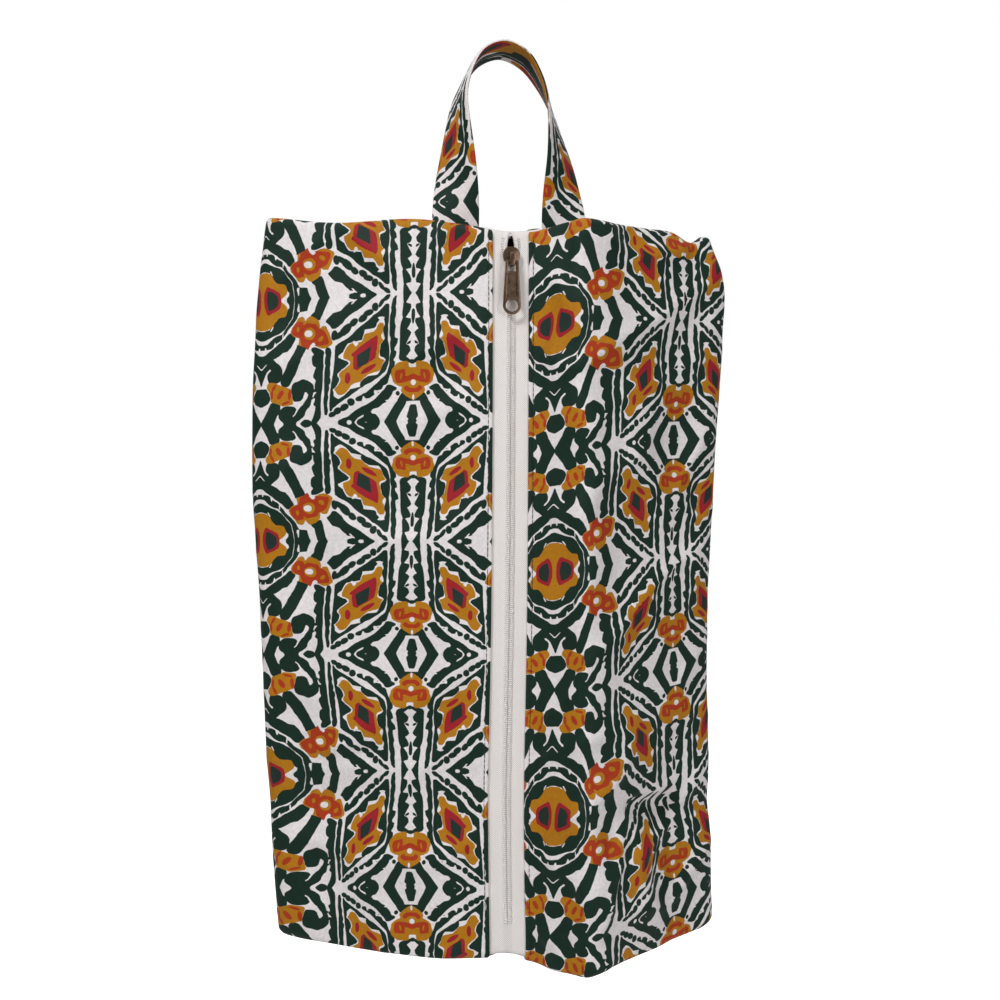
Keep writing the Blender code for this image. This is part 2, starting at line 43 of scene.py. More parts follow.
def linear(hexColour):
    values = [int(hexColour[i:i + 2], 16) / 255 for i in (1, 3, 5)]
    return tuple(v / 12.92 if v <= 0.04045 else ((v + 0.055) / 1.055) ** 2.4 for v in values) + (1.0,)


def setInputs(tree, node, inputs):
    for key, value in inputs.items():
        if isinstance(value, bpy.types.NodeSocket):
            tree.links.new(value, node.inputs[key])
        else:
            node.inputs[key].default_value = value


def addNode(tree, kind, inputs=None, output=0, **settings):
    node = tree.nodes.new(kind)
    for key, value in settings.items():
        setattr(node, key, value)
    setInputs(tree, node, inputs or {})
    return node.outputs[output]


def newMaterial(name):
    made = bpy.data.materials.new(name)
    made.use_nodes = True
    return made, made.node_tree, made.node_tree.nodes["Principled BSDF"]


# the printed cotton: one quarter of a mirrored repeat, in mm across (u) and down (v)
printValues = {
    "halfWidth": 84.4,
    "halfHeight": 62.0,
    "curveWidth": 90,       # mm that the edge curves reach across and down
    "curveHeight": 64,
    "endRun": 0.4,          # mm over which a motif closes above and below
    "endShut": 3,
    "edgeSoftness": 0.22,   # how far a dye edge bleeds
    "edgeWander": 0.55,     # how far an edge strays
    "wanderSize": 2.6,
    "greenSpread": 0.26,    # mm that a dye runs past its drawn edge
    "whiteSpread": -0.08,
    "mustardSpread": -0.10,
    "weavePitch": 0.9,      # the real thread is about 0.3, drawn coarser so that it shows
    "weaveDepth": 0.05,
    "weaveShade": 0.03,
    "mottle": 0.42,         # how uneven the dye is, in patches of about 2 mm
    "mottlePerMm": 0.55,
    "roughness": 0.66,
    "sheen": 0.03,
    "specular": 0.24,
}
inks = {
    "ground": "#EDE7E7",
    "green": "#092A1F",
    "white": "#EDE7E7",
    "mustard": "#B87A08",
    "orange": "#B03812",
    "crimson": "#A31C28",
    "umber": "#1E3029",
}
# ink, cloth whose close-up it was read from, rows of level, left edge, right edge
bands = {
    "innerRing": ("green", "right", [
        (-1, 15.4, 18.6), (0, 15.4, 18.7), (1.2, 15.1, 18.6), (2.2, 15.2, 18.6), (3.5, 16.2, 18.4),
        (4.8, 16.5, 18.2), (6, 15.4, 18), (7.5, 15, 17.9), (8.8, 14.4, 17.7), (9.3, 9.6, 17.5), (10.5, 8, 17),
        (12, 7, 15.9), (13.5, 6.3, 15.2), (14.7, 5.5, 14.4), (15.4, 4.8, 14), (16, 1.5, 13.2), (17, -4, 11.8),
        (17.6, -4, 10.6), (18.3, -4, 8.2), (19.3, -4, 5.3), (20.3, -4, 2.6), (20.9, -4, 1)]),
    "outerRing": ("green", "right", [
        (-1, 19.2, 27.2), (0.5, 19.2, 27.5), (1.5, 19.2, 27.3), (3, 19.2, 26.4), (3.4, 19.1, 26.2),
        (5, 18.9, 25.7), (7, 18.8, 25.2), (7.4, 18.7, 21.2), (8.5, 18.5, 20.7), (10, 18.1, 20.1),
        (11.5, 17.2, 19.3), (13, 16.2, 18.3), (14.2, 15.4, 17.2), (15.2, 14.8, 16), (16, 14.2, 15.5),
        (17, 13.6, 15.1), (18, 12.7, 14.7), (18.4, 10.4, 14.3), (19, 8.8, 13.6), (20, 7, 13), (21, 5.6, 12.3),
        (22, 4.4, 10.6), (22.7, 3.6, 9.2), (23.4, -4, 8.1), (24.3, -4, 7.2), (25, -4, 5.6), (25.4, -4, 2.3)]),
    "beadGap1": ("white", "right", [
        (17.5, 12.9, 13.4), (19.5, 12.9, 13.6), (20.4, 13, 13.5)]),
    "beadGap2": ("white", "right", [
        (21.8, 8.4, 8.9), (22.8, 8, 9.4), (24, 7.6, 9)]),
    "beadGap3": ("white", "right", [
        (24.2, 1.8, 2.6), (25.6, 1.4, 3)]),
    "ringNotch": ("white", "right", [
        (3.2, 20.7, 21.2), (4.5, 20.5, 21.4), (6, 20.1, 21.5), (7.2, 20.3, 21.6)]),
    "heavyChevron": ("green", "right", [
        (17.8, 16.8, 17.6), (18.6, 16, 18.8), (20, 15, 19.7), (21, 13.8, 19.5), (22, 12.5, 18.9),
        (23, 11, 18.3), (24, 9.4, 17.9), (25, 7.7, 17.2), (26, 5.7, 16.4), (26.8, 4.3, 15.6), (27, 4, 13.6),
        (28, 2.6, 12.7), (29, -4, 11.6), (29.6, -4, 10.2), (30.2, -4, 8.1), (31, -4, 9.2), (32, -4, 10.5),
        (33, -4, 12), (34, -4, 13), (36, -4, 13.6), (38, -4, 13.7), (39.5, -4, 13.3), (41, -4, 12.6),
        (42, -4, 11.2), (42.3, -4, 5.5), (42.6, -4, 0.8), (43.4, -4, 0.2)]),
    "chevronLine": ("white", "right", [
        (32.5, 3.4, 4), (33.5, 1.9, 2.9), (34.5, 0.6, 1.5), (35.4, -4, 0.4)]),
    "scrollLine": ("white", "right", [
        (35.2, 5.6, 6.8), (36, 4.6, 6.6), (36.8, 3.6, 5.2), (38, 2.8, 4.2), (39.5, 2, 4.3), (41, 1.3, 5),
        (42.5, 0.6, 5.8), (43.5, -0.2, 6.5), (44.3, -4, 6.5)]),
    "heart": ("green", "right", [
        (44.2, -4, 1.6), (44.8, -4, 3.4), (46, -4, 4.4), (47.2, -4, 5.3), (48.6, -4, 5.9), (50, -4, 6),
        (51, -4, 5.4), (52, -4, 4.3), (53, -4, 2), (53.6, -4, 0.4)]),
    "ball": ("mustard", "right", [
        (41.7, 5, 9.8), (42.5, 4.3, 11), (43.5, 3.8, 13.6), (44.3, 3.7, 16), (45, 4.2, 17.6), (46, 5.3, 18.1),
        (48, 6.1, 18.5), (50, 6.3, 18.9), (51, 6.5, 19.2), (51.6, 8.6, 19.3), (52.6, 12.3, 18.8),
        (53.3, 13.2, 14.6)]),
    "flowerBar": ("green", "right", [
        (23.4, 20.9, 23.2), (25, 20.6, 25.6), (27, 19.7, 24.8), (30, 18.2, 23.4), (33, 16.7, 22),
        (36, 15.4, 20.8), (38, 14.2, 20), (40, 13.1, 18.7), (42, 12.9, 17.6), (43.3, 13.4, 16.8),
        (44.1, 14.6, 15.8)]),
    "scrollHead": ("green", "right", [
        (40.4, 23.5, 24.4), (41.2, 21.8, 26.3), (42, 19.7, 27.9), (43, 18.9, 29.4), (44, 18.5, 30.1),
        (45.4, 18.3, 30.2), (45.8, 18.3, 33), (46.7, 18.4, 33), (47, 18.5, 30.2), (48, 18.7, 29.8),
        (49, 18.8, 29.5), (49.7, 19, 30.9), (50.5, 19.4, 29.1), (51, 19.6, 28.9), (52, 24.9, 28.7),
        (53, 24.3, 28.3), (54, 22.9, 27.7), (55, 22, 26.2), (56, 21.5, 25.5), (57, 20.9, 25.2),
        (58, 20, 24.8), (59, 18.8, 24.1), (60, 17, 22.5), (61, 15, 20.8), (63, 15, 20)]),
    "scrollSlit": ("white", "right", [
        (46.6, 25, 25.8), (48, 24.5, 26.9), (49.5, 24.1, 26.5), (50.4, 23.4, 25.9), (51, 22.6, 25.4),
        (51.2, 19.5, 25.3), (52, 19.5, 24.9)]),
    "knob": ("green", "right", [
        (53.3, 15, 18.6), (54, 13.8, 20), (55, 12.7, 20.6), (56, 12.2, 20.2), (57, 12, 19.7),
        (58, 11.9, 18.7), (59, 11.9, 19), (60, 12.9, 20), (61, 14, 20), (63, 15.2, 20)]),
    "cross": ("green", "right", [
        (51.2, 8, 9.6), (52, 6.6, 11.6), (53, 5.8, 12.4), (55, 4.8, 12.4), (57, 3.4, 12), (58, 2.6, 10.6),
        (60, 1.1, 9.5), (61.5, -0.2, 8.8), (63, -4, 8.4)]),
    "diamond": ("green", "right", [
        (60, 25.2, 26.6), (60.8, 24, 28.3), (61.6, 23.2, 29.7), (63, 22.6, 30)]),
    "stripE": ("green", "right", [
        (25.2, 29.3, 31.5), (26, 28.9, 34), (27, 29.1, 36.3), (28, 29.9, 36.8), (28.7, 30.4, 36.6),
        (29.3, 29.4, 36.2), (31, 28.9, 36), (33, 29, 36.2), (34.2, 30, 36.4), (34.8, 31.6, 36.4),
        (35.6, 31, 36.2), (37, 30.5, 36), (38.5, 29.8, 36), (39.8, 29.9, 36.1), (40.8, 31.2, 36.2),
        (41.4, 31.7, 36.2), (43, 31.2, 36.2), (46, 31.2, 36.2), (47, 32.7, 36), (48, 31.5, 35.8),
        (49, 30.6, 35.7), (50.4, 31.8, 35.7), (51.5, 31.6, 35.7), (52.4, 30.8, 35.6), (53.4, 31, 35.6),
        (53.9, 32.3, 35.6), (56, 32.1, 35.7), (58, 31.2, 35.9), (59.5, 30.5, 35.4), (61, 29.5, 33.8),
        (63, 30.4, 31.6)]),
    "stripF": ("green", "right", [
        (25.5, 38.7, 40.3), (26.5, 37.9, 41), (28, 37.7, 41.5), (29.3, 38.2, 41.3), (31, 37.6, 40.9),
        (33, 37.6, 41), (34.2, 38.1, 40.8), (36, 37.6, 40.8), (38, 37.4, 41), (40, 37.5, 41),
        (41.5, 37.6, 41.6), (43, 37.8, 41.7), (43.9, 38, 40.8), (46, 38, 41.3), (48, 38.4, 40.5),
        (50, 38.2, 41), (52, 38, 40.3), (54, 38.3, 40.2), (56, 38.3, 40.7), (57.5, 38.5, 40.2),
        (58.5, 39, 39.8)]),
    "elbow": ("green", "right", [
        (-1, 33.4, 40.2), (0, 33.6, 40.3), (1, 33.6, 40), (2, 32.7, 39.3), (4, 31.5, 38.3), (6, 30.7, 37.4),
        (8, 30.1, 36.5), (8.8, 28.6, 36.2), (9.6, 27.9, 35.9), (10.5, 29.8, 35.4), (11.5, 32, 34.9),
        (12.3, 33.6, 34.3)]),
    "bigChevron": ("green", "left", [
        (0.3, 50.4, 63.8), (1.5, 50, 63), (2.4, 50.8, 61.6), (2.8, 53, 60.7), (3.4, 53, 60),
        (3.9, 52.5, 59.4), (4.1, 50.2, 59.2), (5, 49.6, 58.3), (5.7, 48.7, 57.5), (7, 47.7, 56),
        (8.5, 46.6, 54), (9.6, 45.7, 52.2), (9.8, 42.9, 52), (11, 41.6, 50.3), (13, 39.6, 48.2),
        (14.3, 38.7, 47.4), (15.2, 40.4, 46.8), (16.4, 41.6, 45.2), (17.6, 42.6, 43.6)]),
    "chevronNick": ("white", "left", [
        (2.9, 52.8, 54), (4, 51.8, 53), (5.2, 51, 52), (5.6, 50.8, 51.2)]),
    "field": ("green", "left", [
        (5, 69.2, 70.7), (6, 67.9, 70.8), (7.5, 66.2, 70.8), (9, 63.8, 71), (10, 62.1, 71), (12, 60, 71),
        (13.5, 58, 71), (15, 56, 70.8), (17, 53.6, 70.7), (19, 52, 70.6), (20.5, 50.4, 70.4),
        (22, 47.9, 70.2), (23.5, 45.4, 70.2), (25, 43.8, 70.5), (28, 43.6, 70.8), (32, 43.5, 70.8),
        (35, 43.3, 70.2), (37, 43.2, 69.6), (38.5, 43, 68.6), (40, 42.8, 66.5), (41, 42.8, 65),
        (42, 42.7, 63.5), (43, 42.6, 61.8), (44, 42.5, 60), (45, 42.5, 58.2), (46, 42.4, 56.8),
        (48, 42.3, 54), (50, 42.2, 51.3), (52, 42.1, 48.4), (54, 42, 45.4), (55.5, 42, 43.4),
        (57, 42.1, 42.5)]),
    "fieldLight": ("white", "left", [
        (11.2, 63.8, 68.6), (12.4, 65.3, 68), (14, 63.6, 68.6), (15, 63.4, 68.9), (16.2, 62.6, 68.2),
        (17, 57.4, 67.9), (18.6, 57.3, 67.9), (20.5, 56.7, 68.7), (22, 56.3, 68.8), (23, 52, 68.3),
        (23.7, 49.6, 67.6), (25, 48.8, 66.6), (26.5, 48, 66.2), (28, 47.3, 65.8), (29.6, 45.3, 65.6),
        (30.6, 45.1, 65.8), (31.4, 47, 68), (32.2, 49.6, 69), (33.4, 50.4, 68), (35, 49, 67.2),
        (37, 46.6, 66.5), (38.6, 45, 65.8), (39.8, 45.2, 64.4), (40.2, 45.8, 60), (41.5, 46.4, 58),
        (43, 46.1, 56.6), (44.5, 45.4, 56.3), (45.5, 44.6, 56.5), (46.6, 43.4, 51.8), (48, 44, 50.6),
        (49.8, 44, 48.9), (51, 46, 47)]),
    "deepfieldDark": ("green", "left", [
        (12, 63, 63.4), (13.5, 60, 62.8), (16, 58, 62.3), (18.2, 60.4, 61.6)]),
    "deepfieldDarkLow": ("green", "left", [
        (21.8, 53.4, 55.6), (23.6, 52.8, 55)]),
    "fieldMustard": ("mustard", "left", [
        (14.1, 65, 67.4), (15, 64.1, 68.3), (16, 63.6, 68.3), (17, 63, 68), (18, 62, 67.8),
        (18.8, 57.9, 67.8), (19.5, 57.4, 67.7), (20, 57.1, 67.1), (21, 56.9, 66.8), (22, 56.5, 67.1),
        (23, 55.7, 68.3), (23.7, 50.7, 67.5), (25, 49.4, 66.5), (25.4, 49.1, 66.2), (26, 48.8, 66.1),
        (27, 48.3, 65.9), (28, 47.9, 65.8), (29, 47.6, 65.5), (30, 47.5, 65.2), (31, 47.7, 65),
        (31.7, 49.5, 66), (32.3, 50.7, 68.5), (33, 51, 68), (34, 50.8, 67.5), (35, 49.8, 67.2),
        (36, 48.5, 66.9), (37, 47.2, 66.5), (38, 46.2, 65.7), (38.7, 45.8, 62.4), (39.5, 45.8, 60),
        (40.5, 46.3, 59), (41, 46.8, 58.3), (42, 46.9, 57.4), (43, 46.6, 56.4), (43.8, 46.3, 53.3),
        (45, 45.5, 52), (46, 44.5, 51.5), (46.8, 44.1, 51), (47.5, 45, 50.5), (48.5, 45.7, 49.7),
        (49.3, 46.4, 48.4)]),
    "lobeNick": ("whiteSpots", "left", [
        (23, 51.9, 52.7), (24, 52.2, 54.7), (25, 52.9, 54.4), (25.5, 53, 53.7)]),
    "diamondRed": ("crimson", "left", [
        (20.1, 63.2, 64.1), (21, 61.8, 64.5), (23, 58.4, 64.7), (25, 55.8, 64.5), (27, 53.6, 64.3),
        (29, 51.4, 63.9), (29.8, 51.5, 63.7), (30.4, 52.6, 63.5), (31.5, 52.4, 63.1), (33, 52.5, 61.3),
        (35, 52.7, 58), (36.4, 53, 56), (37.3, 54.3, 55.2)]),
    "diamondHeart": ("umber", "left", [
        (25.6, 60.5, 61.2), (27, 58.2, 61), (28.6, 55.8, 60.8), (30, 54.1, 60.6), (32, 54.4, 60.4),
        (33.4, 54.6, 60), (35, 54.6, 57.4), (36.3, 54.7, 55)]),
    "stripH": ("green", "left", [
        (1.4, 74.7, 75.2), (3, 73.3, 75), (5, 72.8, 75.1), (7, 72.4, 74.9), (9, 72.8, 75.1), (11, 72, 74.9),
        (13, 72, 74.3), (14, 71.9, 74.3), (16, 72, 74.7), (18, 71.7, 74.3), (20, 71.6, 74), (21.2, 72, 74.1),
        (21.9, 72.1, 75.7), (24, 71.6, 75.3), (26, 71.7, 73.9), (27.2, 71.9, 73.6), (28, 72, 74.9),
        (30, 71.5, 74.6), (32, 71.3, 73.1), (33, 71.4, 74.3), (34.5, 71.3, 74.3), (36, 71, 73.3),
        (38, 70.4, 72.3), (39, 69.8, 71.6), (40, 68.7, 71), (41, 66.9, 70.6), (42, 65.8, 70.3),
        (43, 64.5, 69.9), (43.7, 63.6, 69.2), (44.3, 62.9, 67.6), (45.3, 61.9, 67), (46.2, 60.9, 66.6),
        (46.9, 60.2, 63), (47.8, 59, 66), (48.1, 58, 63), (49, 57, 62.4), (50, 55, 61), (50.8, 54.5, 60),
        (51, 54.2, 57.2), (52, 54.8, 56.5)]),
    "stripGap1": ("white", "left", [
        (46.5, 62.8, 63.9), (47.4, 62.6, 64.8), (48.2, 62.8, 65)]),
    "stripGap2": ("white", "left", [
        (49.6, 57.6, 58.2), (50.6, 57.2, 58.8), (51.2, 57, 61)]),
    "barI": ("green", "left", [
        (-1, 79.3, 83.8), (0, 79.3, 83.4), (1.5, 79.3, 82.4), (3, 79.3, 81.3), (4.3, 79.5, 80.4),
        (4.9, 79.5, 80.3), (5.2, 79.3, 82.7), (7, 79.1, 82.9), (9, 78.9, 82.3), (11, 78.7, 80.8),
        (11.9, 79, 80), (12.4, 78.8, 82.9), (14, 78, 83), (15.5, 77.7, 82.2), (17.4, 77.4, 80.9),
        (18, 77.4, 82.1), (19, 77.3, 83.2), (20, 77.3, 82.9), (22, 77.2, 81.8), (24.6, 77.1, 80.3),
        (25, 77.1, 81.5), (26, 77, 82.6), (28, 76.9, 83), (29, 76.9, 82.1), (30.6, 76.8, 80.7),
        (31.5, 77, 82), (32.4, 77.8, 83.4), (33.4, 82.5, 83.6)]),
    "barITip": ("green", "left", [
        (23, 82.6, 83.2), (24, 81.4, 83), (24.6, 80.9, 82.4)]),
    "leaf": ("green", "left", [
        (7.4, 84.4, 90), (8.2, 83.8, 90), (10, 83.6, 90), (12, 83.7, 90), (14, 84, 90), (15, 84.5, 90)]),
    "crownMustard": ("mustard", "left", [
        (32.7, 78.9, 82), (33.5, 76, 82.4), (34.5, 74.6, 82.4), (35.6, 73.4, 82.6), (36, 73, 90),
        (38, 72.2, 90), (39, 72, 90), (40, 72.5, 90), (42, 73, 90), (43, 74, 90), (44, 75.8, 90),
        (44.5, 77.8, 90), (45, 77.7, 90), (46, 77.3, 90), (47, 77.5, 90), (48, 79, 90), (49, 80.5, 90),
        (50, 82.3, 90), (50.5, 83.5, 90)]),
    "crownRed": ("orange", "left", [
        (36.4, 79, 80.2), (37, 75.3, 80.1), (38, 74.5, 79.8), (38.8, 74.3, 90), (39.5, 74.2, 90),
        (40.5, 74.3, 90), (41.3, 74.5, 83.6), (42, 74.6, 81.6), (42.8, 75.2, 78.5)]),
    "crownRedFill": ("mustardSpots", "left", [
        (36.2, 80.4, 90), (37.6, 80.4, 90), (38.4, 80.4, 84.2), (39.4, 79.8, 81.6)]),
    "crownLow": ("orange", "left", [
        (44, 80, 81.2), (45, 79, 82.2), (45.6, 79.2, 90), (46.6, 80.6, 90), (47.2, 81.5, 84)]),
    "hexagon": ("green", "left", [
        (47.6, 77.9, 78.9), (49, 76.7, 79.9), (50.4, 75.9, 90), (51.2, 75.6, 90), (51.5, 75.3, 80.4),
        (53, 74, 79.9), (55, 72.6, 78.6), (57, 71.2, 77.2), (59, 69.8, 76), (60.4, 68.7, 75.2),
        (61, 68.2, 75), (63, 69, 75.6)]),
    "arrow": ("green", "left", [
        (43.7, 70.3, 71.5), (44.3, 69.6, 73), (45.2, 69, 74.9), (46.1, 68.2, 74.6), (46.8, 67.3, 73),
        (48, 66, 72.3), (50, 63.7, 71), (51, 62.6, 70.2), (51.3, 62.3, 68.1), (52, 61.3, 69.3),
        (53, 59.8, 67), (54, 57.5, 65.8), (55, 55.8, 64.4), (55.3, 55.4, 62.6), (56, 54.3, 61.4),
        (57, 53, 60.6), (57.8, 52, 61.4), (58, 51.8, 62.8), (59, 50.5, 63.8), (60, 48, 64.7), (61, 46, 65.2),
        (63, 45.3, 65.2)]),
    "arrowSlit": ("white", "left", [
        (58.4, 56.8, 57.9), (59.2, 55.6, 57.4), (60, 54.6, 56), (61, 53.7, 54.6), (62, 53, 54.2),
        (63, 53, 54.2)]),
    "beadString": ("green", "left", [
        (52.8, 83.2, 90), (54, 82.5, 90), (56, 82, 90), (57.5, 81.4, 90), (58.8, 81.3, 90), (59.5, 82.2, 90),
        (60, 82.3, 90), (61, 81.8, 90), (63, 81.8, 90)]),
    "medallion": ("mustard", "right", [
        (-1, -4, 13.6), (0, -4, 13), (0.8, -4, 11.9), (1.8, -4, 12.1), (3, -4, 13.6), (4.2, -4, 14.8),
        (5.2, -4, 15.3), (6.5, -4, 15.4), (7.6, -4, 14.9), (8.8, -4, 14.4), (9.2, -4, 13.6), (9.5, -4, 10.6),
        (10.5, -4, 9.3), (12, -4, 7.9), (13.5, -4, 7), (14.8, -4, 6.1), (15.3, -4, 5), (15.6, -4, 2.6),
        (15.2, -4, 2.2)]),
    "medallionGap": ("white", "right", [
        (13.8, 6.7, 7.2), (15, 5.6, 6.6), (16.2, 4.8, 5.8)]),
    "medallionGap2": ("white", "right", [
        (14.8, -4, 1), (15.4, -4, 2), (16, 0.6, 2)]),
    "petalRed": ("crimson", "right", [
        (-1, 0.9, 11.8), (1, 1, 11.9), (3, 1.2, 11.8), (4.6, 1.4, 11.4), (5.4, 1.6, 10.9), (6.4, 2, 8.8),
        (7.4, 2.6, 6.2), (8.4, 3.2, 4.4)]),
    "petalDark": ("umber", "right", [
        (-1, 3, 10.2), (1, 3, 10.4), (3, 3.3, 10.2), (4.4, 3.6, 9), (5.4, 3.8, 7), (6.1, 4, 5.2)]),
    "flowerLobeL": ("mustard", "right", [
        (9.6, 22, 23.4), (10.4, 20.6, 24.2), (12, 19.8, 25), (13.5, 18.8, 30), (15, 17.6, 30), (17, 17.2, 30),
        (18.5, 17.9, 30), (19.6, 19.2, 30), (20.2, 21.4, 30), (22, 21.4, 30), (23.6, 21, 28.6),
        (24.2, 23, 28), (25, 25, 27.6)]),
    "flowerLobeR": ("mustard", "right", [
        (9.7, 26.9, 28.2), (10.8, 25.6, 31), (12, 25, 33), (13, 24, 34), (14, 24, 34.2), (15, 24, 34.3),
        (15.4, 24, 38.8), (16, 24, 39.3), (17, 24, 39.7), (18, 24, 40.2), (19, 24, 40.9), (21, 24, 41.6),
        (23, 24, 42.5), (24, 30.2, 42.3), (24.8, 31.8, 40.8), (25.8, 35, 38.4)]),
    "flowerNick": ("whiteSpots", "right", [
        (14.4, 34.4, 35), (15, 34.2, 36), (16, 34, 34.5)]),
    "flowerRed": ("orange", "right", [
        (11.9, 20.9, 21.7), (12.6, 20.1, 23.6), (13.4, 19.2, 28), (14, 18.8, 31.6), (15, 18.3, 32.6),
        (16, 18, 33), (16.8, 17.9, 36), (17.4, 18, 37), (18.4, 18.5, 38.4), (19.6, 20.5, 39),
        (20.2, 22, 39.4), (21.5, 22.3, 39.9), (23, 22.6, 40.2), (24, 23, 39.6), (24.4, 24, 38),
        (24.7, 24.6, 27.6), (26.2, 26.2, 26.8)]),
    "flowerFoot": ("mustardSpots", "right", [
        (12.4, 24.2, 27), (13.4, 24, 25.4), (14, 24, 24.5)]),
    "flowerGap": ("whiteSpots", "right", [
        (23, 29, 30.4), (24, 27.8, 31.4), (24.8, 27.6, 30.4)]),
}
# ink, cloth, place across, level, half width, half height, turn
spots = {
    "chevronDot": ("white", "left", 56.7, 1.1, 1.5, 0.9, 0),
    "bead1": ("green", "left", 62.8, 6.3, 1.55, 1.75, 0),
    "bead2": ("green", "left", 69.4, 2, 1.9, 0.95, -32),
    "bead3": ("green", "left", 66.4, 4.3, 2.1, 0.85, -52),
    "bead4": ("green", "left", 59.4, 9.2, 2.2, 1.25, -18),
    "bead5": ("green", "left", 56.7, 11.9, 2.2, 1.4, -38),
    "bead6": ("green", "left", 52.3, 14.2, 2.1, 1.3, -48),
    "bead7": ("green", "left", 48.6, 17.8, 3.3, 1.7, -50),
    "bead8": ("green", "left", 46, 20.2, 2.8, 1.2, -38),
    "bead9": ("green", "left", 43.3, 20.6, 1.3, 2.1, 12),
    "bead10": ("green", "left", 52.1, 52.5, 1.45, 1.55, 0),
    "bead11": ("green", "left", 48.9, 55.1, 1.9, 1.25, -35),
    "bead12": ("green", "left", 45.7, 56.7, 1.7, 1.3, -35),
    "bead13": ("green", "left", 43, 58.3, 1.6, 1, -20),
    "fieldDash": ("crimson", "left", 60, 36.4, 4.1, 1.15, -32),
    "fieldSpot": ("crimson", "left", 50.4, 41.1, 1.35, 2.8, 0),
    "arrowDot": ("white", "left", 50.7, 62.2, 1.2, 1.25, 0),
    "arrowDash": ("white", "left", 58.4, 62.1, 0.9, 0.45, 0),
    "stem": ("green", "left", 75.6, 47.7, 0.85, 0.9, 0),
    "axisBead": ("green", "left", 84.4, 33, 1.2, 0.8, 0),
    "crownSpot": ("mustardSpots", "left", 77.7, 39.7, 0.5, 1.5, 12),
    "crownDot": ("whiteSpots", "left", 84.6, 42.4, 1.8, 1.4, 0),
    "crownFoot": ("whiteSpots", "left", 84.6, 49.4, 0.8, 1.5, 0),
    "fieldBead": ("white", "left", 68, 21.3, 0.7, 1.1, 0),
    "flowerRing": ("mustardSpots", "right", 27.4, 18.4, 3.4, 3, 0),
    "flowerHeart": ("whiteSpots", "right", 26.5, 18.2, 2.15, 1.65, 0),
    "flowerSpotL": ("mustardSpots", "right", 21.3, 16, 0.7, 1.3, 0),
    "flowerSpotR": ("mustardSpots", "right", 35.1, 21.3, 2, 1.1, -25),
    "ballStripe1": ("orange", "right", 8.6, 44.2, 2.2, 0.95, -52),
    "ballStripe2": ("orange", "right", 7.2, 47.6, 0.95, 2.2, 0),
    "ballStripe3": ("orange", "right", 12.4, 47.6, 2.6, 1.3, -55),
    "ballStripe4": ("orange", "right", 17.3, 47.6, 0.85, 2.8, 6),
    "ballStripe5": ("orange", "right", 15.3, 51.6, 2.2, 0.7, -18),
}
layers = ("green", "white", "mustard", "orange", "crimson", "umber", "mustardSpots", "whiteSpots")


# the levels between which the repeat's mirror lines lie on each cloth's close-up, in mm
mirrorValues = {
    "rightTop": 1.2, "rightFoot": 62.0,
    "leftTop": 0.3, "leftLean": 0.09, "leanTo": 63.7, "beyondTop": 0.2, "beyond": 64,
    "leftFoot": 62.2, "footLean": 0.04, "footFrom": 50,
}


def printLevel(cloth, u, level):
    # a level read from a cloth's close-up, straightened to mm down the print
    values = mirrorValues
    top, foot = values["rightTop"], values["rightFoot"]
    if cloth == "left":
        top = values["leftTop"] + max(0.0, values["leanTo"] - u) * values["leftLean"]
        top = top if u < values["beyond"] else values["beyondTop"]
        foot = values["leftFoot"] - max(0.0, u - values["footFrom"]) * values["footLean"]
    return round((level - top) / (foot - top) * printValues["halfHeight"], 1)


def bandMask(tree, motif, across, down):
    # how far a place lies inside a motif, between its two edges
    values = printValues
    run, shut = values["endRun"], values["endShut"]
    cloth, rows = motif
    rows = sorted((printLevel(cloth, (left + right) / 2, level), left, right)
                  for level, left, right in rows)
    for row, step, free in ((rows[0], -run, rows[0][0] > run),
                            (rows[-1], run, rows[-1][0] < values["halfHeight"] - run)):
        if free:
            middle = (row[1] + row[2]) / 2
            rows = sorted(rows + [(row[0] + step, middle + shut, middle - shut)])
    edges = []
    for side in (1, 2):
        node = tree.nodes.new("ShaderNodeFloatCurve")
        node.mapping.use_clip = False
        node.mapping.extend = "HORIZONTAL"
        places = []
        for row in rows:
            place = (row[0] / values["curveHeight"], row[side] / values["curveWidth"])
            if not places or place[0] > places[-1][0]:
                places.append(place)
        curve = node.mapping.curves[0]
        while len(curve.points) < len(places):
            curve.points.new(0.5, 0.5)
        for point, place in zip(curve.points, places):
            point.location = place
            point.handle_type = "VECTOR"
        node.mapping.update()
        setInputs(tree, node, {"Value": down})
        edges.append(node.outputs[0])
    fromLeft = addNode(tree, "ShaderNodeMath", {0: across, 1: edges[0]}, operation="SUBTRACT")
    fromRight = addNode(tree, "ShaderNodeMath", {0: edges[1], 1: across}, operation="SUBTRACT")
    return addNode(tree, "ShaderNodeMath", {0: fromLeft, 1: fromRight}, operation="MINIMUM")


def spotMask(tree, spot, place):
    # how far a place lies inside a turned oval
    cloth, u, level, halfAcross, halfDown, turn = spot
    moved = addNode(tree, "ShaderNodeMapping", {
        "Vector": place, "Location": (u, printLevel(cloth, u, level), 0), "Rotation": (0, 0, math.radians(turn)),
        "Scale": (halfAcross, halfDown, 1)}, vector_type="TEXTURE")
    size = addNode(tree, "ShaderNodeVectorMath", {0: moved}, "Value", operation="LENGTH")
    least = min(halfAcross, halfDown) / printValues["curveWidth"]
    return addNode(tree, "ShaderNodeMath", {0: size, 1: -least, 2: least}, operation="MULTIPLY_ADD")


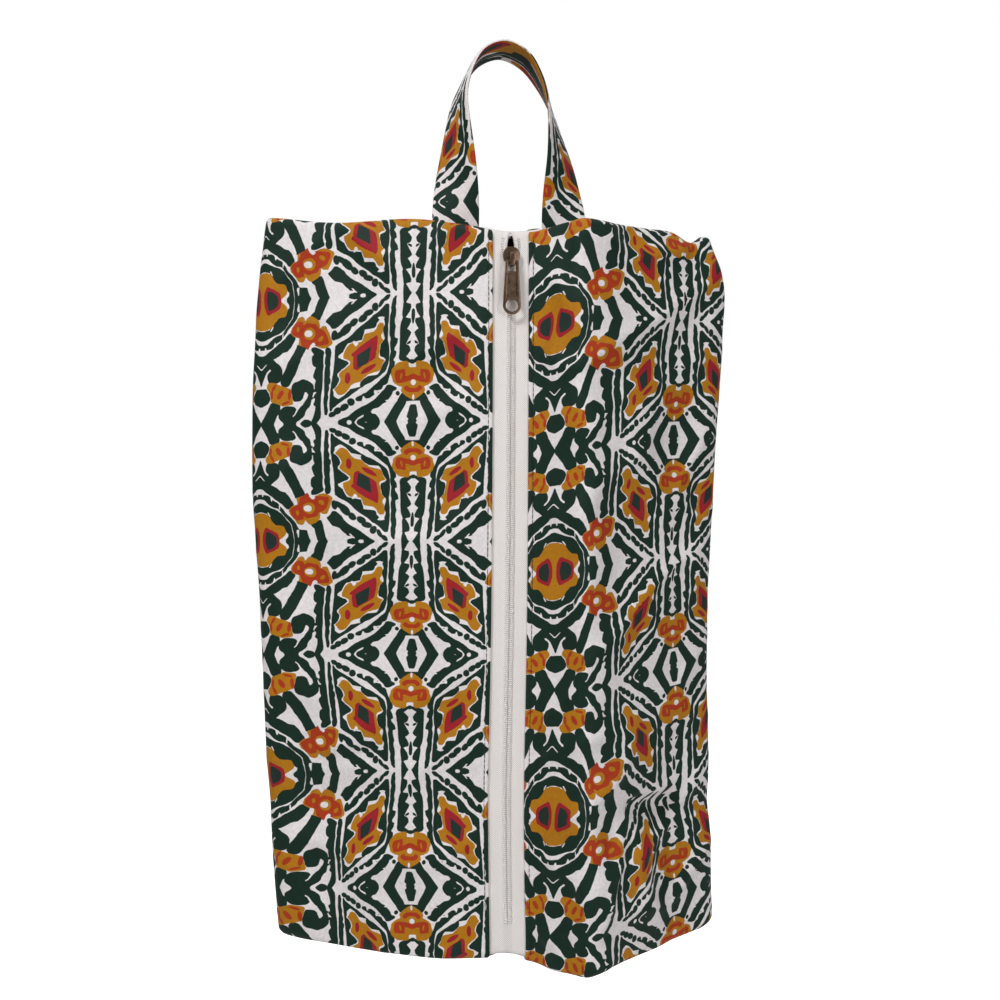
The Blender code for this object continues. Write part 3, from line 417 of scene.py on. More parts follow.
def printedCotton():
    # printed plain-weave cotton: matt dye with soft edges, the weave and a faint nap give the eye
    made, tree, shader = newMaterial("printedCotton")
    values = printValues
    soft, mottle = values["edgeSoftness"], values["mottle"]
    uv = addNode(tree, "ShaderNodeUVMap", uv_map="print")
    parts = addNode(tree, "ShaderNodeSeparateXYZ", {0: uv}).node.outputs
    u, v = (addNode(tree, "ShaderNodeMath", {0: part, 1: values[half]}, operation="PINGPONG")
            for part, half in zip(parts, ("halfWidth", "halfHeight")))
    flat = addNode(tree, "ShaderNodeCombineXYZ", {0: u, 1: v})
    wander = addNode(tree, "ShaderNodeTexNoise",
                     {"Vector": flat, "Scale": 1 / values["wanderSize"], "Detail": 3.0}, "Color")
    centred = addNode(tree, "ShaderNodeVectorMath", {0: wander, 1: (0.5, 0.5, 0.5)}, operation="SUBTRACT")
    strayed = addNode(tree, "ShaderNodeVectorMath",
                      {0: centred, 1: (values["edgeWander"],) * 2 + (0,), 2: flat}, operation="MULTIPLY_ADD")
    moved = addNode(tree, "ShaderNodeSeparateXYZ", {0: strayed}).node.outputs
    across, down = (addNode(tree, "ShaderNodeMath", {0: part, 1: 1 / values[reach]}, operation="MULTIPLY")
                    for part, reach in zip(moved, ("curveWidth", "curveHeight")))
    colour = linear(inks["ground"])
    for layer in layers:
        motifs = [(bandMask, band[1:], (across, down)) for band in bands.values() if band[0] == layer]
        motifs += [(spotMask, spot[1:], (strayed,)) for spot in spots.values() if spot[0] == layer]
        share = None
        for maskOf, shape, where in motifs:
            mask = maskOf(tree, shape, *where)
            share = mask if share is None else addNode(
                tree, "ShaderNodeMath", {0: share, 1: mask}, operation="MAXIMUM")
        spread = values.get(layer + "Spread", 0.0)
        share = addNode(tree, "ShaderNodeMath",
                        {0: share, 1: values["curveWidth"] / soft, 2: 0.5 + spread / soft},
                        operation="MULTIPLY_ADD", use_clamp=True)
        ink = linear(inks[layer.replace("Spots", "")])
        colour = addNode(tree, "ShaderNodeMix", {"Factor": share, 6: colour, 7: ink}, 2, data_type="RGBA")
    beat = 2 * math.pi / values["weavePitch"]
    turned = (addNode(tree, "ShaderNodeMath", {0: part, 1: beat}, operation="MULTIPLY") for part in parts[:2])
    warp, weft = (addNode(tree, "ShaderNodeMath", {0: angle}, operation="SINE") for angle in turned)
    weave = addNode(tree, "ShaderNodeMath", {0: warp, 1: weft}, operation="MULTIPLY")
    patches = addNode(tree, "ShaderNodeTexNoise",
                      {"Vector": uv, "Scale": values["mottlePerMm"], "Detail": 4.0})
    uneven = addNode(tree, "ShaderNodeMath", {0: patches, 1: mottle, 2: 1 - mottle / 2},
                     operation="MULTIPLY_ADD")
    dye = addNode(tree, "ShaderNodeMath", {0: weave, 1: values["weaveShade"], 2: uneven},
                  operation="MULTIPLY_ADD")
    relief = addNode(tree, "ShaderNodeMath", {0: weave, 1: patches}, operation="ADD")
    setInputs(tree, shader, {
        "Base Color": addNode(tree, "ShaderNodeVectorMath", {0: colour, "Scale": dye}, operation="SCALE"),
        "Normal": addNode(tree, "ShaderNodeBump",
                          {"Height": relief, "Distance": values["weaveDepth"] * mm, "Strength": 0.6}),
        "Roughness": values["roughness"], "Sheen Weight": values["sheen"],
        "Specular IOR Level": values["specular"]})
    return made


tapeValues = {
    "colour": "#FFFCFA",
    "shadeColour": "#E4DBD6",
    "coilHalfWidth": 2.2,   # mm of tape that lies in the coil's shade
    "coilShade": 0.94,
    "shadeEdge": 2.5,
    "ribPitch": 1.1,        # mm, drawn twice as coarse as the real twill
    "ribRun": 2.4,
    "ribDepth": 0.12,
    "roughness": 0.85,
    "sheen": 0.1,
}


def wovenTape():
    # white woven zip tape: the herringbone ribs and their small shadows give the eye
    made, tree, shader = newMaterial("wovenTape")
    values = tapeValues
    edge, shade = values["shadeEdge"], values["coilShade"]
    uv = addNode(tree, "ShaderNodeUVMap", uv_map="print")
    parts = addNode(tree, "ShaderNodeSeparateXYZ", {0: uv}).node.outputs
    zigzag = addNode(tree, "ShaderNodeMath", {0: parts[0], 1: values["ribRun"]}, operation="PINGPONG")
    slant = addNode(tree, "ShaderNodeMath", {0: zigzag, 1: parts[1]}, operation="ADD")
    turned = addNode(tree, "ShaderNodeMath", {0: slant, 1: 2 * math.pi / values["ribPitch"]},
                     operation="MULTIPLY")
    rib = addNode(tree, "ShaderNodeMath", {0: turned}, operation="SINE")
    share = addNode(tree, "ShaderNodeMath", {0: rib, 1: 0.5, 2: 0.5}, operation="MULTIPLY_ADD", use_clamp=True)
    ribbed = addNode(tree, "ShaderNodeMix", {
        "Factor": share, 6: linear(values["shadeColour"]), 7: linear(values["colour"])}, 2, data_type="RGBA")
    clear = addNode(tree, "ShaderNodeMath", {0: parts[0], 1: edge, 2: 0.5 - edge * values["coilHalfWidth"]},
                    operation="MULTIPLY_ADD", use_clamp=True)
    dimmed = addNode(tree, "ShaderNodeMath", {0: clear, 1: 1 - shade, 2: shade}, operation="MULTIPLY_ADD")
    setInputs(tree, shader, {
        "Base Color": addNode(tree, "ShaderNodeVectorMath", {0: ribbed, "Scale": dimmed}, operation="SCALE"),
        "Normal": addNode(tree, "ShaderNodeBump",
                          {"Height": share, "Distance": values["ribDepth"] * mm, "Strength": 0.7}),
        "Roughness": values["roughness"], "Sheen Weight": values["sheen"]})
    return made


brassValues = {
    "worn": "#97806C",
    "patina": "#4C3A2D",
    "recessWorn": "#4A4136",
    "recessPatina": "#2C251E",
    "patinaPerMetre": 420.0,   # patches of about 2 mm
    "roughness": 0.27,
    "patinaRoughness": 0.12,   # how much duller the patina is
    "pitDepth": 0.03,
}


def antiqueBrass(name, worn, patina):
    # antiqued brass plating: dark patina with a worn, warmer sheen gives the eye
    made, tree, shader = newMaterial(name)
    values = brassValues
    duller = values["patinaRoughness"]
    place = addNode(tree, "ShaderNodeTexCoord", output="Object")
    cloud = addNode(tree, "ShaderNodeTexNoise",
                    {"Vector": place, "Scale": values["patinaPerMetre"], "Detail": 4.0})
    share = addNode(tree, "ShaderNodeMath", {0: cloud, 1: 1.8, 2: -0.35},
                    operation="MULTIPLY_ADD", use_clamp=True)
    setInputs(tree, shader, {
        "Base Color": addNode(tree, "ShaderNodeMix",
                              {"Factor": share, 6: linear(patina), 7: linear(worn)}, 2, data_type="RGBA"),
        "Metallic": 1.0,
        "Roughness": addNode(tree, "ShaderNodeMath", {0: share, 1: -duller, 2: values["roughness"] + duller},
                             operation="MULTIPLY_ADD"),
        "Normal": addNode(tree, "ShaderNodeBump",
                          {"Height": cloud, "Distance": values["pitDepth"] * mm, "Strength": 0.4})})
    return made


threadValues = {"twistPerMetre": 2500.0, "darker": 0.86}


def thread(name, colour, roughness):
    # twisted sewing thread or drawn nylon: small darker flecks of the twist give the eye
    made, tree, shader = newMaterial(name)
    place = addNode(tree, "ShaderNodeTexCoord", output="Object")
    cloud = addNode(tree, "ShaderNodeTexNoise",
                    {"Vector": place, "Scale": threadValues["twistPerMetre"], "Detail": 2.0})
    dark = tuple(value * threadValues["darker"] for value in linear(colour)[:3]) + (1.0,)
    setInputs(tree, shader, {
        "Base Color": addNode(tree, "ShaderNodeMix",
                              {"Factor": cloud, 6: dark, 7: linear(colour)}, 2, data_type="RGBA"),
        "Roughness": roughness})
    return made


cotton = printedCotton()
tapeCloth = wovenTape()
brass = antiqueBrass("antiqueBrass", brassValues["worn"], brassValues["patina"])
darkBrass = antiqueBrass("antiqueBrassRecess", brassValues["recessWorn"], brassValues["recessPatina"])
seamThread = thread("seamThread", "#16241F", 0.7)
paleThread = thread("paleThread", "#A79D97", 0.7)
nylon = thread("coilNylon", "#FFFCFA", 0.5)
print("materials made")

# the bag's shape repeats the tables of the CAD source, in metres
bag = {
    "width": 0.250, "depth": 0.110, "height": 0.368, "edgeRound": 0.004,
    "wall": 0.0012, "gap": 0.0003, "loopHeight": 0.094, "loopWidth": 0.059,
    "topDroop": 0.009, "slot": 0.0186, "tapeReach": 0.0153,
    "rows": 150, "leftColumns": 52, "sideColumns": 13, "backColumns": 48, "rightColumns": 58,
}
topLevel = -bag["loopHeight"] - bag["topDroop"]
# height, left, right, zipSide, zipFront, ridgeSide, ridgeFront, back
sections = np.array((
    (0.00, 0.500, 0.470, 0.000, 0.268, 0.140, 0.400, 0.44),
    (0.05, 0.508, 0.497, 0.000, 0.268, 0.138, 0.412, 0.45),
    (0.14, 0.518, 0.494, 0.000, 0.268, 0.135, 0.430, 0.47),
    (0.33, 0.526, 0.478, -0.001, 0.268, 0.134, 0.450, 0.49),
    (0.55, 0.508, 0.461, -0.004, 0.274, 0.136, 0.465, 0.50),
    (0.80, 0.492, 0.465, -0.010, 0.273, 0.136, 0.480, 0.50),
    (1.00, 0.470, 0.472, -0.006, 0.262, 0.138, 0.490, 0.48)))
leftEdgeBack, rightEdgeBack = 0.155, 0.070
topEdge = np.array((
    (-0.50, 1.65), (-0.36, 1.00), (-0.18, 0.85), (-0.10, 0.45), (0.00, 0.00), (0.12, 0.50),
    (0.22, 0.60), (0.30, 0.75), (0.37, 0.90), (0.42, 0.55), (0.46, 1.15), (0.50, 1.00)))
bottomEdge = np.array((
    (-0.50, 0.15), (-0.26, -0.25), (-0.15, -0.32), (-0.06, -0.15), (0.00, -0.15),
    (0.06, -0.60), (0.13, -0.50), (0.30, -0.28), (0.42, -0.15), (0.50, 0.00)))
# mark, height, along, across, lean, push
folds = (
    (0.62, 0.80, 0.035, 0.20, 8.0, -0.030),
    (0.80, 0.60, 0.160, 0.05, -6.0, -0.020),
    (0.30, 0.34, 0.150, 0.06, 5.0, 0.020),
    (4.20, 0.82, 0.025, 0.12, -6.0, -0.040),
    (4.42, 0.90, 0.090, 0.03, 18.0, 0.035),
    (4.60, 0.30, 0.180, 0.05, 0.0, -0.012),
    (4.86, 0.98, 0.030, 0.03, 25.0, 0.030),
    (2.30, 0.40, 0.200, 0.07, 10.0, -0.035),
    (2.72, 0.62, 0.220, 0.06, -8.0, -0.030),
    (2.50, 0.15, 0.120, 0.10, 0.0, 0.020),
)
# finer creases: from s, z to s, z in mm (s is negative left of the zip), half width, rise
creases = (
    (-106, -371, -66, -362.5, 1.6, 1.5),
    (-104, -376, -68, -368, 3.4, -2.0),
    (-19, -132, -13, -127, 1.3, -0.55),
    (-20, -264, -13, -260, 1.3, -0.5),
    (-20, -381, -13, -376, 1.3, -0.5),
    (74, -397, 124, -400, 4.5, -2.8),
    (78, -389, 120, -390, 3.0, 1.6),
    (54, -458, 74, -401, 3.6, 2.0),
    (61, -458, 81, -404, 4.0, -1.6),
    (84, -398, 96, -384, 2.5, -0.8),
    (16, -456, 30, -462, 2.4, 0.8),
    (13, -462, 26, -469, 2.0, -0.8),
    (-16, -452, -30, -462, 2.6, 0.6),
    (118, -118, 132, -142, 3.0, -1.0),
    (-120, -116, -128, -150, 4.0, -0.9),
    (-90, -440, -112, -466, 5.0, 0.9),
    (100, -440, 122, -464, 5.0, -0.9),
)


def through(knots, values, place):
    place = np.clip(place, knots[0], knots[-1])
    index = np.clip(np.searchsorted(knots, place, "right") - 1, 0, len(knots) - 2)
    slopes = np.gradient(values, knots, axis=0)
    width = knots[index + 1] - knots[index]
    step = (place - knots[index]) / width
    a, b = values[index], values[index + 1]
    riseA, riseB = slopes[index] * width, slopes[index + 1] * width
    return (a * (2 * step**3 - 3 * step**2 + 1) + riseA * (step**3 - 2 * step**2 + step)
            + b * (3 * step**2 - 2 * step**3) + riseB * (step**3 - step**2))


def spline(points, closed, each):
    points = np.asarray(points, float)
    if closed:
        stretch = np.vstack([points[-1], points, points[0], points[1]])
        count = len(points)
    else:
        stretch = np.vstack([2 * points[0] - points[1], points, 2 * points[-1] - points[-2]])
        count = len(points) - 1
    made = []
    for start in range(count):
        p0, p1, p2, p3 = stretch[start:start + 4]
        t1 = np.linalg.norm(p1 - p0) ** 0.5
        t2 = t1 + np.linalg.norm(p2 - p1) ** 0.5
        t3 = t2 + np.linalg.norm(p3 - p2) ** 0.5
        t = (t1 + (t2 - t1) * np.arange(each) / each)[:, None]
        a1 = (t1 - t) / t1 * p0 + t / t1 * p1
        a2 = (t2 - t) / (t2 - t1) * p1 + (t - t1) / (t2 - t1) * p2
        a3 = (t3 - t) / (t3 - t2) * p2 + (t - t2) / (t3 - t2) * p3
        b1 = (t2 - t) / t2 * a1 + t / t2 * a2
        b2 = (t3 - t) / (t3 - t1) * a2 + (t - t1) / (t3 - t1) * a3
        made.append((t2 - t) / (t2 - t1) * b1 + (t - t1) / (t2 - t1) * b2)
    if not closed:
        made.append(points[-1:])
    return np.vstack(made)


def sectionControls(height):
    left, right, zipSide, zipFront, ridgeSide, ridgeFront, back = (
        through(sections[:, 0], sections[:, index], height) for index in range(1, 8))
    width, depth, rounding = bag["width"], bag["depth"], bag["edgeRound"]
    half = bag["slot"] / 2
    zipX, zipY = zipSide * width, -zipFront * depth
    leftEdge = np.array([-left * width, leftEdgeBack * depth])
    rightEdge = np.array([right * width, rightEdgeBack * depth])
    ridge = np.array([ridgeSide * width, -ridgeFront * depth])
    backY = back * depth
    leftFold = np.array([zipX - half - rounding, zipY])
    rightFold = np.array([zipX + half + rounding, zipY])
    full = np.array([0.0, -rounding])
    return np.array([
        (zipX, zipY), (zipX - 0.65 * half, zipY), leftFold,
        leftFold + 0.36 * (leftEdge - leftFold) + full,
        leftFold + 0.72 * (leftEdge - leftFold) + full,
        leftEdge, (leftEdge[0] * 0.985, 0.5 * (leftEdge[1] + backY)),
        (leftEdge[0] * 0.93, backY * 0.92), (leftEdge[0] * 0.5, backY),
        (rightEdge[0] * 0.5, backY), (rightEdge[0] * 0.93, backY * 0.92),
        (rightEdge[0] * 0.985, 0.5 * (rightEdge[1] + backY)), rightEdge,
        rightEdge + 0.34 * (ridge - rightEdge) + full / 2,
        rightEdge + 0.70 * (ridge - rightEdge) + full / 2,
        ridge, rightFold + 0.5 * (ridge - rightFold), rightFold,
        (zipX + 0.65 * half, zipY)])


def foldPush(mark, height):
    push = np.zeros(np.shape(mark))
    for at, level, along, across, lean, depth in folds:
        side = (mark - at) * bag["width"] / 2
        rise = (height - level) * bag["height"]
        turn = math.radians(lean)
        over = (side * math.cos(turn) + rise * math.sin(turn)) / (across * bag["width"])
        up = (rise * math.cos(turn) - side * math.sin(turn)) / (along * bag["height"])
        push = push + depth * bag["depth"] * np.exp(-(over**2) - up**2)
    return push


class Section:
    # one ring round the bag at a height, read by station or by distance

    each = 36

    def __init__(self, height):
        self.height = height
        self.ring = spline(sectionControls(height), True, self.each)
        self.closed = np.vstack([self.ring, self.ring[0]])
        steps = np.linalg.norm(np.diff(self.closed, axis=0), axis=1)
        self.length = np.concatenate([[0.0], np.cumsum(steps)])
        self.stations = self.length[np.array((0, 5, 7, 10, 12, 19)) * self.each]

    def along(self, mark):
        return np.interp(mark, np.arange(6), self.stations)

    def markAt(self, distance):
        distance = np.asarray(distance, float)
        left = -distance / self.stations[1]
        right = 5 - distance / (self.stations[5] - self.stations[4])
        return np.where(distance < 0, left, right)

    def flat(self, mark):
        where = self.along(mark)
        reach = bag["edgeRound"] / 2
        total = self.length[-1]
        ahead, behind = (where + reach) % total, (where - reach) % total
        place = [np.interp(where, self.length, self.closed[:, axis]) for axis in (0, 1)]
        dx, dy = (np.interp(ahead, self.length, self.closed[:, axis])
                  - np.interp(behind, self.length, self.closed[:, axis]) for axis in (0, 1))
        size = np.hypot(dx, dy)
        normal = np.stack([-dy / size, dx / size], axis=-1)
        push = foldPush(mark, self.height)
        return np.stack(place, axis=-1) + normal * push[..., None], normal


ringsMade = {}


def ringAt(height):
    key = round(height, 6)
    if key not in ringsMade:
        ringsMade[key] = Section(height)
    return ringsMade[key]


def wallPoints(section, marks, roll, inset):
    # points of the cloth at a height, inset (a number or an array) from its outer face
    flat, normal = section.flat(marks)
    rounding = bag["edgeRound"]
    droop = through(topEdge[:, 0] * bag["width"], topEdge[:, 1] * bag["topDroop"], flat[:, 0])
    top = topLevel + droop - rounding
    bottom = (topLevel - bag["height"] + rounding
              + through(bottomEdge[:, 0] * bag["width"], bottomEdge[:, 1] * bag["topDroop"], flat[:, 0]))
    level = top + (bottom - top) * section.height
    radius = rounding - inset
    inward = rounding - radius * math.cos(roll)
    plan = flat - normal * np.broadcast_to(inward, marks.shape)[:, None]
    return np.column_stack([plan, level + radius * math.sin(roll)]), level, normal


def rollSteps(rows, rolls):
    made = [(0.0, math.pi / 2 * (1 - step / rolls)) for step in range(rolls)]
    made += [(step / rows, 0.0) for step in range(rows + 1)]
    made += [(1.0, -math.pi / 2 * step / rolls) for step in range(1, rolls + 1)]
    return made


def bodyMarks(section):
    # marks from fold to fold, close together at the zip's folds
    near = np.array((9.3, 9.34, 9.42, 9.55, 9.75, 10.0, 10.4, 10.8, 11.1, 11.4,
                     11.7, 12.0, 12.5, 13.2, 14.2)) * mm
    leftTape, rightTape = section.markAt(-bag["tapeReach"]), section.markAt(bag["tapeReach"])
    return np.concatenate([
        section.markAt(-near), np.linspace(leftTape, 1, bag["leftColumns"], endpoint=False),
        np.linspace(1, 2, bag["sideColumns"], endpoint=False),
        np.linspace(2, 3, bag["backColumns"], endpoint=False),
        np.linspace(3, 4, bag["sideColumns"], endpoint=False),
        np.linspace(4, rightTape, bag["rightColumns"]), section.markAt(near[::-1])])


# where the print lies on each cloth, in mm: distance from the zip to u, height to v
leftU = np.array((
    (0, 139), (12.7, 126.6), (31.5, 105.4), (50.5, 84.2), (70.5, 63), (94.7, 41.8), (107.2, 27.3), (125, 11.5),
    (135, 0), (335, -205)))
leftV = np.array((
    (-520, 395), (-436.5, 311), (-377, 248.8), (-317.5, 186.6), (-260.5, 124.4), (-199.2, 62.2), (-133.7, 0),
    (-80, -53)))
rightU = np.array((
    (0, -27), (24, 0), (35.7, 11.5), (51.5, 27.3), (66.7, 41.8), (86.7, 63), (110.5, 84.2), (330, 290)))
rightV = np.array((
    (-520, 374), (-458, 311), (-398.7, 248.8), (-335, 186.6), (-275.8, 124.4), (-215, 62.2), (-151.3, 0),
    (-80, -70)))
rightShear = 0.0965


# how the print drifts low on each side, where the cloth was eased into the seam, in mm
driftValues = {
    "leftSlide": 8.5, "slideFrom": 310, "slideRun": 60, "slideAt": 100, "slideHalf": 22,
    "leftDrop": 8.0, "dropFrom": 280, "dropRun": 100,
    "rightSlide": 1.7, "rightSpread": 0.055, "rightFrom": 300, "rightRun": 80,
}


def printPlace(side, distance, level):
    # print coordinates of a point, from its distance to the zip and its level in metres
    values = driftValues
    s, z = distance / mm, level / mm
    scale = printValues["halfHeight"] / 62.2
    if side < 0:
        low = np.clip((-z - values["slideFrom"]) / values["slideRun"], 0, 1)
        s = s + values["leftSlide"] * low * np.exp(-(((s - values["slideAt"]) / values["slideHalf"]) ** 2))
        low = np.clip((-z - values["dropFrom"]) / values["dropRun"], 0, 1)
        z = z + values["leftDrop"] * np.clip((s - 50.5) / 84, 0, 1.3) * low
        return np.stack([np.interp(s, leftU[:, 0], leftU[:, 1]),
                         np.interp(z, leftV[:, 0], leftV[:, 1]) * scale], axis=-1)
    low = np.clip((-z - values["rightFrom"]) / values["rightRun"], 0, 1)
    s = s - low * (values["rightSlide"] + values["rightSpread"] * np.clip(s - 24, 0, 110))
    u = np.interp(s, rightU[:, 0], rightU[:, 1])
    z = z - rightShear * np.clip(u, -30, 140)
    return np.stack([u, np.interp(z, rightV[:, 0], rightV[:, 1]) * scale], axis=-1)


def wallMesh(name, outer, inner, uv, material, uvAfter=None, seam=None, sharp=50, uvInner=None):
    # a closed wall between two grids of points; uv changes cloth at the seam column
    rows, columns = outer.shape[:2]
    points = np.concatenate([outer.reshape(-1, 3), inner.reshape(-1, 3)])
    i, j = np.meshgrid(np.arange(rows - 1), np.arange(columns - 1), indexing="ij")
    a = (i * columns + j).ravel()
    front = np.stack([a, a + columns, a + columns + 1, a + 1], axis=1)
    rim = list(range(columns)) + [k * columns + columns - 1 for k in range(1, rows)]
    rim += [(rows - 1) * columns + k for k in range(columns - 2, -1, -1)]
    rim += [k * columns for k in range(rows - 2, 0, -1)]
    rim = np.array(rim)
    following = np.roll(rim, -1)
    under = rows * columns
    faces = np.concatenate([front, front[:, ::-1] + under,
                            np.stack([rim, following, following + under, rim + under], axis=1)])
    corners = faces % under
    flatUv = uv.reshape(-1, 2)
    faceUv = flatUv[corners]
    if seam is not None:
        after = (corners % columns).min(axis=1) >= seam
        faceUv[after] = uvAfter.reshape(-1, 2)[corners[after]]
    if uvInner is not None:
        count = len(front)
        faceUv[count:2 * count] = uvInner.reshape(-1, 2)[corners[count:2 * count]]
    tri = np.concatenate([faces[:, [0, 1, 2]], faces[:, [0, 2, 3]]])
    if np.linalg.det(points[tri]).sum() < 0:
        faces, faceUv = faces[:, ::-1], faceUv[:, ::-1]
    return newMesh(name, points, faces, material, faceUv, sharp)


def newMesh(name, points, faces, material, faceUv=None, sharp=40):
    mesh = bpy.data.meshes.new(name)
    mesh.from_pydata([tuple(p) for p in points], [], [tuple(int(k) for k in f) for f in faces])
    if faceUv is not None:
        layer = mesh.uv_layers.new(name="print")
        layer.data.foreach_set("uv", np.ascontiguousarray(faceUv, dtype=np.float32).ravel())
    mesh.shade_smooth()
    mesh.set_sharp_from_angle(angle=math.radians(sharp))
    mesh.materials.append(material)
    piece = bpy.data.objects.new(name, mesh)
    scene.collection.objects.link(piece)
    return piece


def noiseField(points, size, seed):
    # smooth noise from -1 to 1 over points, size in metres
    return np.array([noise.noise(Vector((x / size + seed, y / size - seed, z / size))) for x, y, z in points])


clothValues = {
    "swell": 2.0, "swellSize": 0.060,          # mm of push, and metres across one swelling
    "crumple": 2.6, "crumpleSize": 0.024,
    "ridge": 3.0, "ridgeSize": 0.048, "ridgeLevel": 0.4,
    "smooth": 13, "smoothRun": 10,             # mm beside the zip that stay smooth
    "cornerReach": 15, "cornerCalm": 0.85, "backCalm": 0.4,
    "ripple": 0.010, "topRipple": 0.75, "topRun": 11, "bottomRipple": 0.9, "bottomRun": 14,
    "grooveAt": 11.5, "groove": 0.34, "grooveHalf": 0.42,
    "pucker": 0.26, "puckerSize": 0.0055, "puckerRun": 4.5,
    "backSeam": 0.9, "backSeamHalf": 1.1,
}


def clothPush(signed, level, points, marks, section):
    # (large, fine) push of the cloth outwards, in metres, at signed distances from the zip
    values = clothValues
    s, z = signed / mm, level / mm
    away = np.clip((np.abs(s) - values["smooth"]) / values["smoothRun"], 0, 1)
    away = away * away * (3 - 2 * away)
    large = np.zeros(len(s))
    for s0, z0, s1, z1, half, rise in creases:
        ds, dz = s1 - s0, z1 - z0
        along = np.clip(((s - s0) * ds + (z - z0) * dz) / math.hypot(ds, dz) ** 2, 0, 1)
        off = np.hypot(s - s0 - along * ds, z - z0 - along * dz)
        fade = np.minimum(1, np.minimum(along, 1 - along) * 6 + 0.15)
        large += rise * np.exp(-(off / half) ** 2) * fade * np.where(abs(s0) < 22, 1, away)
    leaning = points @ np.array(((0.82, 0, -0.57), (0, 1, 0), (0.57, 0, 0.82)))
    ridges = 1 - np.abs(noiseField(leaning * (0.6, 1, 1.5), values["ridgeSize"], 21.0))
    corners = (-section.stations[1] / mm, (section.length[-1] - section.stations[4]) / mm)
    near = sum(np.exp(-(((s - corner) / values["cornerReach"]) ** 2)) for corner in corners)
    calm = (1 - values["cornerCalm"] * near) * np.where((marks > 1) & (marks < 4), values["backCalm"], 1.0)
    large += away * calm * (values["swell"] * noiseField(points, values["swellSize"], 3.0)
                            + values["crumple"] * noiseField(points * (1, 1, 0.7), values["crumpleSize"], 8.0)
                            + values["ridge"] * (ridges**6 - values["ridgeLevel"]))
    topGap, bottomGap = -z - 105, z + 470
    large += away * noiseField(points * (1, 1, 0.15), values["ripple"], 5.0) * (
        values["topRipple"] * np.exp(-(np.clip(topGap, 0, None) / values["topRun"]))
        + values["bottomRipple"] * np.exp(-(np.clip(bottomGap, 0, None) / values["bottomRun"])))
    groove = np.exp(-((np.abs(s) - values["grooveAt"]) / values["grooveHalf"]) ** 2)
    fine = -values["groove"] * groove * (0.8 + 0.2 * np.cos(2 * np.pi * z / 3.0))
    pucker = noiseField(points * (1, 1, 0.9), values["puckerSize"], 11.0)
    fine += values["pucker"] * pucker * np.exp(-((np.abs(s) - 12.5) / values["puckerRun"]) ** 2)
    backRun = (section.stations[3] - section.stations[2]) / mm
    fine -= values["backSeam"] * np.exp(-(((marks - 2.5) * backRun) / values["backSeamHalf"]) ** 2)
    return large * mm, fine * mm


def bagBody():
    outer, inner, leftUv, rightUv = [], [], [], []
    rounding = bag["edgeRound"]
    lip = 0.8 * mm
    for height, roll in rollSteps(bag["rows"], 5):
        section = ringAt(height)
        marks = bodyMarks(section)
        where = section.along(marks)
        total = section.length[-1]
        signed = np.where(marks < 2.5, -where, total - where)
        edge = np.abs(signed) - bag["slot"] / 2
        turned = lip - np.sqrt(np.clip(lip**2 - np.clip(lip - edge, 0, lip) ** 2, 0, None))
        points, level, normal = wallPoints(section, marks, roll, 0.0)
        large, fine = clothPush(signed, level, points, marks, section)
        keep = math.cos(roll) ** 2
        outerPoints = wallPoints(section, marks, roll, turned)[0]
        innerPoints = wallPoints(section, marks, roll, bag["wall"])[0]
        outerPoints[:, :2] += normal * ((large + fine) * keep)[:, None]
        innerPoints[:, :2] += normal * (large * keep)[:, None]
        outer.append(outerPoints)
        inner.append(innerPoints)
        run = level + rounding * roll
        leftUv.append(printPlace(-1, where, run))
        rightUv.append(printPlace(1, total - where, run))
    seam = int(np.searchsorted(bodyMarks(ringAt(0.5)), 2.5))
    body = wallMesh("bagCloth", np.array(outer), np.array(inner), np.array(leftUv), cotton,
                    np.array(rightUv), seam, 60)
    return body


body = bagBody()
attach(body, "bag")
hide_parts("bag_body")
print("bag cloth", len(body.data.polygons))


def rimCurve(section, marks, roll, count):
    points, _, normal = wallPoints(section, marks, roll, 0.0)
    points[:, :2] -= normal * bag["gap"]
    steps = np.linalg.norm(np.diff(points, axis=0), axis=1)
    length = np.concatenate([[0.0], np.cumsum(steps)])
    places = np.linspace(0, length[-1], count)
    return np.column_stack([np.interp(places, length, points[:, axis]) for axis in range(3)])


panelValues = {
    "across": 110, "deep": 37, "seamRise": 0.0011, "seamWidth": 0.0022, "seamShare": 0.4,
    "pucker": 0.0005, "puckerSize": 0.009, "puckerReach": 0.012,
    "sag": 0.85, "sagHalf": 0.0098,             # the dip between the handle's feet
    "drawn": 0.0014, "drawnHalf": 0.0098, "drawnReach": 0.004,   # drawn in at the zip's end
}


